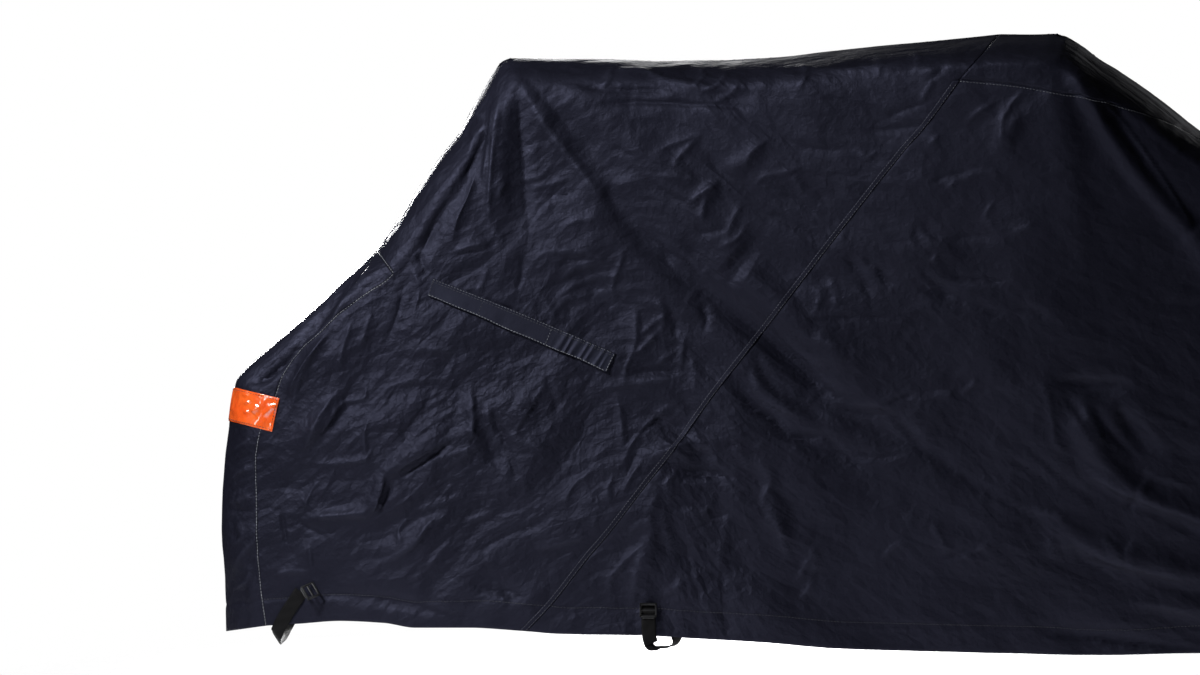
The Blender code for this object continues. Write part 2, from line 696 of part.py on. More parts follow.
def make_flap(rear, collection):
    """The flap: sewn flat along its top edge, standing a little proud along its bottom edge."""
    share = np.linspace(0, 1, FLAP_COLUMNS + 1)
    down = np.linspace(0, 1, FLAP_ROWS + 1)[:, None]
    drawn = (
        along(FLAP_TOP, share)[None] * (1 - down[..., None])
        + along(FLAP_BOTTOM, share)[None] * down[..., None]
    )
    places = near_side(drawn)
    outward = -normals_of(places)
    places = seat(places, outward, [rear], SEAT_GAP_WIDE)
    gathered = (
        ease((share - FLAP_GATHER_START) / FLAP_GATHER_RUN)
        * ease((FLAP_GATHER_END - share) / FLAP_GATHER_RUN)
    )
    turns = (share - FLAP_GATHER_START) / (1 - FLAP_GATHER_START) * FLAP_GATHERS
    ripple = FLAP_GATHER_HEIGHT * gathered * (1 - np.cos(2 * math.pi * turns))
    loose = FLAP_GATHER_HELD + (1 - FLAP_GATHER_HELD) * down
    lift = FLAP_THICKNESS + FLAP_PROUD * down**2 + ripple[None] * loose
    places = places + outward * lift[..., None]
    return sheet("flap", [places[::-1]], FLAP_THICKNESS, "flap_cloth", collection)


def make_patch(carriers, collection):
    """The reflective patch, sewn on round the tail edge: it bends where the tail strip does."""
    down = np.linspace(0, 1, PATCH_ROWS + 1)
    centre, edge = along(PATCH_CENTRE, down), along(PATCH_NEAR, down)
    seam = along(TAIL_SLOPE_SEAM[:-1] + TAIL_DROP_SEAM, np.linspace(0, 1, LONG_EDGE_STEPS))
    level = (centre[:, 1] + edge[:, 1]) / 2 - PATCH_DROP / 3
    seam_u = np.interp(-level, -seam[:, 1], seam[:, 0])
    to_seam = ((seam_u - centre[:, 0]) / (edge[:, 0] - centre[:, 0]))[:, None]
    cap = cap_shares()[None]
    beyond = np.linspace(0, 1, 3)[1:][None]
    over = np.concatenate([to_seam * cap, to_seam + (1 - to_seam) * beyond], axis=1)[..., None]
    drawn = centre[:, None] * (1 - over) + edge[:, None] * over
    near = near_side(drawn)
    far = far_side(drawn)
    places = np.concatenate([near[:, :0:-1], near[:, :1] * (1, 0, 1), far[:, 1:]], axis=1)
    outward = normals_of(places)
    places = seat(places, outward, carriers, SEAT_GAP_WIDE)
    places = places + outward * PATCH_THICKNESS
    return sheet("reflector_patch", [places], PATCH_THICKNESS, "reflector", collection)


def ribbon_middle(centres, widths):
    """The middle surface of webbing along `centres`, whose width runs along `widths`."""
    left = centres - widths * WEBBING_WIDTH / 2
    right = centres + widths * WEBBING_WIDTH / 2
    return np.stack([left, centres, right])


def webbing(name, middle, collection):
    """Webbing about its middle surface."""
    outer = middle + normals_of(middle) * WEBBING_THICKNESS / 2
    return sheet(name, [outer], WEBBING_THICKNESS, "webbing", collection)


def make_side_strap(carrier, collection):
    """The side strap: down the outside, round the hem and up the inside."""
    table = np.array(SIDE_STRAP, float)
    u, w, out, turn = along(table, np.linspace(0, 1, SIDE_STRAP_STEPS + 1)).T
    base = half_width(u, w.clip(SIDE_STRAP_HEM_W), FOLDS)
    centres = true_place(u, w, base + out)
    turn = np.radians(turn)
    widths = np.stack([np.cos(turn), np.sin(turn), np.zeros(len(turn))], axis=-1)
    run = unit(np.gradient(centres, axis=0))
    widths = unit(widths - run * np.sum(widths * run, axis=-1, keepdims=True))
    middle = ribbon_middle(centres, widths)
    outward = np.zeros(middle.shape)
    outward[..., 1] = np.where(out < 0, 1.0, -1.0)
    above_hem = middle[..., 2] > SIDE_STRAP_SEATED_Z
    middle = seat(middle, outward, [carrier], SEAT_GAP_WIDE + WEBBING_THICKNESS / 2, above_hem)
    return webbing("strap_side", middle, collection)


def make_rear_strap(carriers, collection):
    """The rear strap: from its buckle down the near side, round behind the wheel and up inside."""
    centres = along(REAR_STRAP, np.linspace(0, 1, REAR_STRAP_STEPS + 1))
    run = unit(np.gradient(centres, axis=0))
    across = np.array(REAR_STRAP_WIDTH_DIRECTION)
    widths = unit(across - run * (run @ across)[:, None])
    middle = ribbon_middle(centres, widths)
    outward = np.broadcast_to((0.0, -1.0, 0.0), middle.shape)
    above_hem = middle[..., 2] > REAR_STRAP_SEATED_Z
    middle = seat(middle, outward, carriers, SEAT_GAP + WEBBING_THICKNESS / 2, above_hem)
    return webbing("strap_rear", middle, collection)


def box_mesh(bm, size, middle):
    """A box of the given size about its middle."""
    made = bmesh.ops.create_cube(bm, size=1.0)["verts"]
    bmesh.ops.scale(bm, vec=Vector(size), verts=made)
    bmesh.ops.translate(bm, vec=Vector(middle), verts=made)


def make_buckle(name, matrix, collection, cutters):
    """A ladder-lock buckle: a plate with two slots, rounded along its edges."""
    bm = bmesh.new()
    box_mesh(bm, (BUCKLE_WIDTH * MM, BUCKLE_LENGTH * MM, BUCKLE_THICKNESS * MM), (0, 0, 0))
    mesh = bpy.data.meshes.new(name)
    bm.to_mesh(mesh)
    bm.free()
    piece = put_in_collection(name, mesh, "buckle", collection)
    bm = bmesh.new()
    slot = ((BUCKLE_WIDTH - 2 * BUCKLE_RAIL) * MM, BUCKLE_SLOT * MM, 3 * BUCKLE_THICKNESS * MM)
    for end in (-1, 1):
        box_mesh(bm, slot, (0, end * BUCKLE_SLOT_PLACE * MM, 0))
    slots = bpy.data.meshes.new(name + "_slots")
    bm.to_mesh(slots)
    bm.free()
    cutter = bpy.data.objects.new(name + "_slots", slots)
    cutters.objects.link(cutter)
    cutter.hide_render = True
    cutter.display_type = "WIRE"
    cut = piece.modifiers.new("Slots", "BOOLEAN")
    cut.object = cutter
    cut.operation = "DIFFERENCE"
    edge = piece.modifiers.new("Rounded edges", "BEVEL")
    edge.width = BUCKLE_BEVEL * MM
    edge.segments = 1
    edge.limit_method = "ANGLE"
    cutter.parent = piece
    piece.matrix_world = matrix
    bpy.context.view_layer.update()
    return piece


def place_matrix(middle, width, length):
    """Matrix that lays a buckle at `middle` with its width and length along two directions."""
    face = np.cross(width, length)
    rows = np.eye(4)
    rows[:3, 0], rows[:3, 1], rows[:3, 2] = width, length, face
    rows[:3, 3] = np.asarray(middle) * MM
    return Matrix([tuple(row) for row in rows])


def make_buckles(straps, carriers, collection, cutters):
    """Both ladder-lock buckles, each lying on its strap."""
    u, w = (np.array(value) for value in SIDE_BUCKLE_PLACE)
    middle = true_place(u, w, half_width(u, w, FOLDS) + BUCKLE_START)
    across, up = np.array([1.0, 0.0, 0.0]), np.array([0.0, 0.0, 1.0])
    buckle = make_buckle("buckle_side", place_matrix(middle, across, up), collection, cutters)
    rest_on(buckle, [straps[0]], SEAT_GAP)
    u, w = (np.array(value) for value in REAR_BUCKLE_PLACE)
    middle = true_place(u, w, half_width(u, w, FOLDS) + BUCKLE_START)
    across = unit(np.array(REAR_BUCKLE_WIDTH_DIRECTION))
    up = unit(np.cross(np.array(REAR_BUCKLE_FACE), across))
    buckle = make_buckle("buckle_rear", place_matrix(middle, across, up), collection, cutters)
    rest_on(buckle, [straps[1], *carriers], SEAT_GAP)


def main():
    """Clear the scene and make the cover."""
    for old in list(bpy.data.objects):
        bpy.data.objects.remove(old, do_unlink=True)
    collection = bpy.data.collections.new("bicycle_cover")
    cutters = bpy.data.collections.new("cutters")
    for made in (collection, cutters):
        bpy.context.scene.collection.children.link(made)
    rear = make_rear(collection)
    tail = make_tail(collection)
    right = make_fronts(collection)
    make_top(collection)
    make_flap(rear, collection)
    make_patch([rear, tail], collection)
    side_strap = make_side_strap(right, collection)
    rear_strap = make_rear_strap([rear, tail], collection)
    make_buckles([side_strap, rear_strap], [rear, tail], collection, cutters)


main()
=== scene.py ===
"""Looks of the fitted cover for a long two-wheeled cargo bicycle.

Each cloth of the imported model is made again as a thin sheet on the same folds, with the crumples,
creases, seams and stitches of coated cloth.  The sewn-on pieces follow the finer surface.

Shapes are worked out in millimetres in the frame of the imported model, and become metres when a
mesh is made.  Places on the cloth are given in the side drawing: u forward of the saddle and w
above it, as they appear from 4 m to the right on the centre plane.
"""

from __future__ import annotations

import logging
import math
from dataclasses import dataclass, field
from enum import Enum
from itertools import product

import bmesh
import bpy
import numpy as np
from mathutils import Matrix, Vector

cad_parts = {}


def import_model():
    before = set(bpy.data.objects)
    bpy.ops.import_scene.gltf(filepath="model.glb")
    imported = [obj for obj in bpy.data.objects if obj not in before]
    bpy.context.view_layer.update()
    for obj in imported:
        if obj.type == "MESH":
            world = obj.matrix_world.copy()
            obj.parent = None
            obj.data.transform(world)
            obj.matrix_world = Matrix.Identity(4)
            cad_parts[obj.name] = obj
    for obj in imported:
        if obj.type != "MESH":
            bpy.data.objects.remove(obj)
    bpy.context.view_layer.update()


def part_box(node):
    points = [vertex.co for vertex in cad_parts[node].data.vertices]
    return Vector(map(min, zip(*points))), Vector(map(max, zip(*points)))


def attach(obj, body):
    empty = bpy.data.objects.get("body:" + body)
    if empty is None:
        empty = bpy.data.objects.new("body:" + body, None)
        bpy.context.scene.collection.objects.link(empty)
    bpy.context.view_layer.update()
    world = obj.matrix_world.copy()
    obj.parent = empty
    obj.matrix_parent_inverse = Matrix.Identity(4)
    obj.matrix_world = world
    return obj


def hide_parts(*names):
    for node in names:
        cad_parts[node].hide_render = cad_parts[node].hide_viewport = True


log = logging.getLogger("cover")

Array = np.ndarray
Pair = tuple[float, float]
Place = tuple[float, float, float]
Colour = tuple[float, float, float, float]
Names = tuple[str, ...]

MM = 0.001
BODY = "root"

CLOTH_THICKNESS = 1.1
WEBBING_WIDTH = 20.0
SEAM_GAP = 0.3          # between the edges of two cloths that are sewn together
RIDGE_DEPTH = 45.0      # how far below the top edge the cloth has turned to hang straight down
FOLD_FADE = 55.0        # how far from the top edge the folds have their full height
FOLD_CREST_W = -60.0    # folds that end higher than this keep their full height nearly to the end
FOLD_CREST_SHARE = 0.12  # share of their length over which they rise or fall
FOLD_FREE_SHARE = 0.40  # the same for ends in smooth cloth
FOLD_JOIN_REACH = 25.0  # ends closer than this run on into each other
FOLD_OVERLAP = 16.0     # and lie over each other at least this far
OUTLINE_STEPS = 60      # straight steps that stand for one stretch of an edge or a seam
BESIDE_COLUMNS = 30     # stitches lie within this many columns or rows of an edge
PAINTED_HIGHLIGHT_HEIGHT = 1.3       # a crest this much higher than the cloth beside it gets the full painted highlight
FLOOR_MIDDLE = (0.8, 0.0, -0.9626)      # in metres

# The side drawing's viewpoint
VIEW_DISTANCE = 4000.0
VIEW_U = 132.0
VIEW_W = -407.0

# Outline of the cover in the side drawing, as (u, w)
TAIL_SLOPE_EDGE = [
    (-195, -280), (-234, -314), (-278, -355), (-322, -395), (-363, -431), (-386, -453),
    (-400, -469), (-404, -484), (-409, -510),
]
TAIL_DROP_EDGE = [
    (-409, -510), (-416, -579), (-421, -645), (-422, -696), (-417, -762), (-414, -837),
]
REAR_EDGE = [
    (-195, -280), (-161, -229), (-132, -184), (-101, -141), (-72, -103), (-60, -78), (-44, -52),
    (-25, -21), (-10, -2), (3, 2), (73, 1), (146, 1), (220, -2), (307, -1), (395, 4), (483, 14),
    (600, 26), (717, 37),
]
FRONT_EDGE = [
    (717, 37), (761, 37), (799, 38), (817, 33), (834, 23), (864, 1), (893, -17), (952, -58),
    (1009, -103), (1180, -215), (1290, -286), (1335, -305), (1480, -320), (1625, -314),
    (1670, -326), (1800, -384), (1930, -440), (2040, -496),
]
NOSE_EDGE = [(2040, -496), (2105, -552), (2145, -630), (2163, -740), (2167, -868)]

# Seams, and the hem from the tail to the nose
TAIL_SLOPE_SEAM = [
    (-170, -314), (-184, -327), (-208, -342), (-249, -373), (-277, -400), (-309, -428),
    (-330, -459), (-346, -500),
]
TAIL_DROP_SEAM = [(-346, -500), (-366, -548), (-372, -590), (-371, -650), (-368, -735), (-357, -829)]
CAP_FOOT = [
    (-170, -314), (-119, -256), (-58, -169), (-16, -107), (24, -58), (73, -50), (146, -51),
    (220, -55), (307, -55), (395, -52), (483, -44), (600, -34), (659, -29),
]
DIAGONAL_SEAM = [
    (659, -29), (607, -99), (579, -131), (529, -193), (479, -257), (419, -335), (358, -414),
    (300, -488), (243, -567), (192, -632), (145, -693), (115, -728), (60, -798), (23, -837),
]
TOP_SEAM = [
    (659, -29), (741, -37), (805, -48), (865, -59), (922, -76), (969, -94), (1012, -117),
    (1180, -230), (1290, -303), (1335, -322), (1480, -338), (1625, -333), (1670, -345),
    (1800, -405), (1920, -465), (2010, -515),
]
NOSE_SEAM = [(2010, -515), (2062, -575), (2092, -650), (2106, -750), (2109, -866)]
REAR_HEM = [
    (-357, -829), (-307, -826), (-249, -822), (-184, -825), (-138, -832), (-59, -832),
    (23, -837),
]
FRONT_HEM = [
    (23, -837), (73, -841), (190, -843), (261, -847), (378, -854), (471, -862), (589, -866),
    (729, -869), (870, -872), (1009, -869), (1300, -872), (1600, -868), (1850, -871),
    (2109, -866),
]

# Half-width of the cover along its length: at the saddle's height, how far its side bulges
# halfway down, and at the hem
SECTIONS = [
    # u, top, bulge, hem
    (-430, 34, 2, 52),
    (-330, 50, 0, 82),
    (-200, 66, -4, 116),
    (0, 84, -10, 150),
    (200, 122, -12, 166),
    (450, 186, -18, 182),
    (650, 250, -14, 196),
    (800, 288, -8, 210),
    (1000, 300, -4, 230),
    (1300, 306, 2, 250),
    (1650, 300, 2, 244),
    (1850, 236, 0, 206),
    (2050, 150, 2, 150),
    (2170, 62, 0, 84),
]
SECTION_HEM_W = -860.0

# Main folds of the right-hand side.  Each runs from (u0, w0) to (u1, w1), bowed to its left by
# `bow`, and stands h0 to h1 out of the cloth; a negative height is a trough.
FOLDS = [
    # u0, w0, u1, w1, bow, width, h0, h1
    (-6, -12, -29, -282, 4, 20, 9, 5),  # saddle drop
    (-26, -251, -94, -296, 0, 22, 4, 2),  # saddle drop foot
    (0, -24, 15, -352, 9, 20, -2.5, -2.5),  # saddle trough
    (15, -23, 158, -223, -9, 22, 6, 4),  # saddle plane
    (12, -18, 149, -195, 9, 26, -2, -6),  # main trough top
    (138, -182, 285, -337, -12, 19, -9, -11),  # main trough mid
    (274, -326, 461, -481, 6, 20, -12, -11),  # main trough seam
    (447, -475, 593, -563, -6, 20, -10, -9),  # main trough low
    (578, -554, 732, -645, 0, 22, -8, -4),  # main trough end
    (73, -36, 337, -291, 12, 30, 3, 7),  # main ridge upper
    (337, -305, 571, -498, -6, 24, 7, 5),  # main ridge lower
    (-31, -90, -70, -185, 6, 13, -5, -8),  # tail side trough
    (-70, -185, -155, -296, 6, 14, -8, -3),  # tail side low
    (-47, -132, -102, -279, -4, 16, 4, 5),  # tail side ridge
    (-61, -90, -66, -125, 0, 9, -6, -6),  # pinch
    (73, -21, 366, -55, -4, 16, -4, -4),  # ridge shadow
    (366, -36, 615, -10, 3, 16, -4, -3),  # ridge shadow fwd
    (817, 5, 1007, -261, -15, 15, 12, 14),  # bar end ridge
    (998, -247, 1157, -498, 0, 20, 12, 4),  # bar end run
    (875, -59, 1013, -258, -12, 19, -5, -7),  # bar end trough
    (791, -15, 842, -352, 7, 26, 6, 3),  # bar end face
    (-252, -478, -310, -583, 0, 15, 5, 5),  # rack facet
    (-211, -466, -309, -580, 9, 12, -4, -5),  # rack crease
    (-81, -525, -187, -604, 4, 10, 6, 6),  # double crease a
    (-187, -604, -205, -658, 0, 10, 6, 6),  # double crease b
    (-205, -658, -302, -667, 4, 11, 6, 4),  # double crease c
    (-70, -545, -182, -630, 4, 11, -5, -5),  # double trough
    (-94, -658, -203, -733, 6, 12, 5, 5),  # low rear a
    (102, -686, 13, -711, 0, 12, 5, 4),  # low rear b
    (-297, -777, -78, -804, 0, 12, -5, -4),  # low rear hem
    (-59, -747, 29, -788, 0, 13, -5, -5),  # low rear hem b
    (-66, -475, -66, -573, 7, 11, 5, 4),  # rear upright
    (37, -475, -18, -557, 0, 12, 5, 4),  # rear slant
    (-38, -513, -7, -620, -4, 12, -5, -4),  # rear trough
    (307, -176, 378, -118, 0, 13, 5, 3),  # star arm a
    (307, -176, 274, -213, 0, 13, 5, 3),  # star arm b
    (244, -255, 310, -329, 0, 13, -5, -5),  # star trough
    (73, -296, 184, -396, 6, 15, -4, -5),  # flap creases
    (193, -586, 300, -557, 0, 16, 7, 7),  # patch ridge
    (212, -645, 187, -797, 4, 13, 7, 6),  # patch edge
    (244, -601, 334, -610, 0, 12, -5, -4),  # patch trough
    (359, -567, 410, -736, 4, 13, 6, 5),  # mid fall
    (321, -463, 512, -595, -15, 14, -7, -6),  # bundle a
    (350, -428, 501, -516, -15, 13, -6, -5),  # bundle b
    (340, -449, 501, -554, -15, 10, 5, 5),  # bundle ridge
    (599, -332, 697, -370, 4, 13, -5, -4),  # front arc a
    (589, -258, 668, -296, 4, 13, 5, 4),  # front arc b
    (747, -68, 714, -147, 0, 13, 5, 4),  # front fall
    (794, -470, 919, -488, 0, 15, -5, -5),  # dark pocket
    (817, -498, 925, -639, -12, 18, 12, 13),  # low front a
    (916, -633, 1083, -703, -6, 19, 13, 10),  # low front a2
    (887, -498, 960, -589, -9, 13, -8, -8),  # low front a cut
    (773, -657, 909, -733, -6, 17, 8, 10),  # low front b
    (899, -727, 1098, -777, 0, 18, 10, 8),  # low front b2
    (864, -624, 1069, -715, 0, 12, -7, -8),  # low front b cut
    (908, -780, 1098, -824, 0, 16, 7, 7),  # low front c
    (741, -828, 998, -851, -4, 13, -5, -5),  # low front hem
    (1200, -228, 1222, -528, 9, 26, 9, 3),  # box corner
    (1303, -264, 1362, -733, 12, 34, -8, -4),  # box drape
    (1479, -279, 1508, -703, -12, 36, -8, -5),  # box drape b
    (1632, -272, 1669, -616, 9, 26, 8, 3),  # box front
    (1157, -528, 1332, -791, -9, 30, -7, -4),  # wheel drape
    (1728, -337, 1808, -791, 12, 28, -6, -6),  # nose drape
    (1874, -381, 1947, -821, 12, 22, 5, 5),  # nose ridge
]

# Plain folds of the left-hand side
FAR_FOLDS = [
    # u0, w0, u1, w1, bow, width, h0, h1
    (-6, -14, -60, -420, 8, 34, 7, 3),  # far saddle drop
    (16, -20, 560, -560, 14, 34, -8, -9),  # far main trough
    (90, -40, 560, -440, 14, 40, 4, 6),  # far main ridge
    (815, -4, 1010, -330, -16, 30, 10, 8),  # far bar drop
    (-60, -520, -300, -690, 6, 30, 5, 5),  # far low rear
    (800, -520, 1180, -720, -14, 36, 9, 8),  # far low front
    (1200, -228, 1222, -528, 9, 40, 8, 3),  # far box corner
    (1320, -270, 1370, -740, 10, 44, -8, -5),  # far box drape
    (1740, -350, 1810, -790, 10, 44, -6, -6),  # far nose drape
]

# Flap: the ends of its sewn top edge and of its free bottom edge
FLAP_TOP = [(-113, -320), (21, -373), (155, -430)]
FLAP_BOTTOM = [(-120, -346), (12, -401), (142, -458)]

# Reflective patch: its right-hand edge, and where it crosses the tail edge
PATCH_NEAR = [(-337, -496), (-348, -545)]
PATCH_CENTRE = [(-403, -480), (-411, -529)]
PATCH_DROP = 16.0       # how far its near edge lies below its crossing of the tail edge

# Side strap: outside the cloth, round the hem and up inside it.  `out` is how far the webbing's
# middle lies outside the cloth's face, and `turn` how far its width has turned inwards.
SIDE_STRAP = [
    # u, w, out, turn in degrees
    (203, -796, 1.5, 0),
    (203, -820, 1.5, 0),
    (203.5, -838, 1.5, 0),
    (204.5, -847, 1.5, 3),
    (208, -857, -1.0, 42),
    (216, -860, -4.0, 72),
    (227, -860, -7.0, 86),
    (237, -857, -9.5, 72),
    (243, -849, -11.5, 48),
    (245, -836, -11.5, 28),
    (245, -818, -7.5, 8),
    (245, -798, -3.4, 0),
    (245, -776, -3.4, 0),
]
SIDE_STRAP_HEM_W = -843.0

# Rear strap, in true places: from its buckle down the near side, round behind the wheel and up
# inside the far hem.  Above the hem it is seated on the cloth.
REAR_STRAP = [
    # x, y, z
    (-296, -80, -771),
    (-306, -79, -786),
    (-316, -78, -801),
    (-325, -77, -817),
    (-331, -77, -829),
    (-335, -58, -840),
    (-337, -26, -845),
    (-338, 0, -846),
    (-337, 24, -845),
    (-335, 48, -840),
    (-331, 66, -828),
    (-325, 71, -816),
    (-316, 73, -800),
    (-308, 74, -786),
]
REAR_STRAP_SEATED_Z = -830.0
REAR_STRAP_WIDTH_DIRECTION = (0.54, 0.0, -0.84)

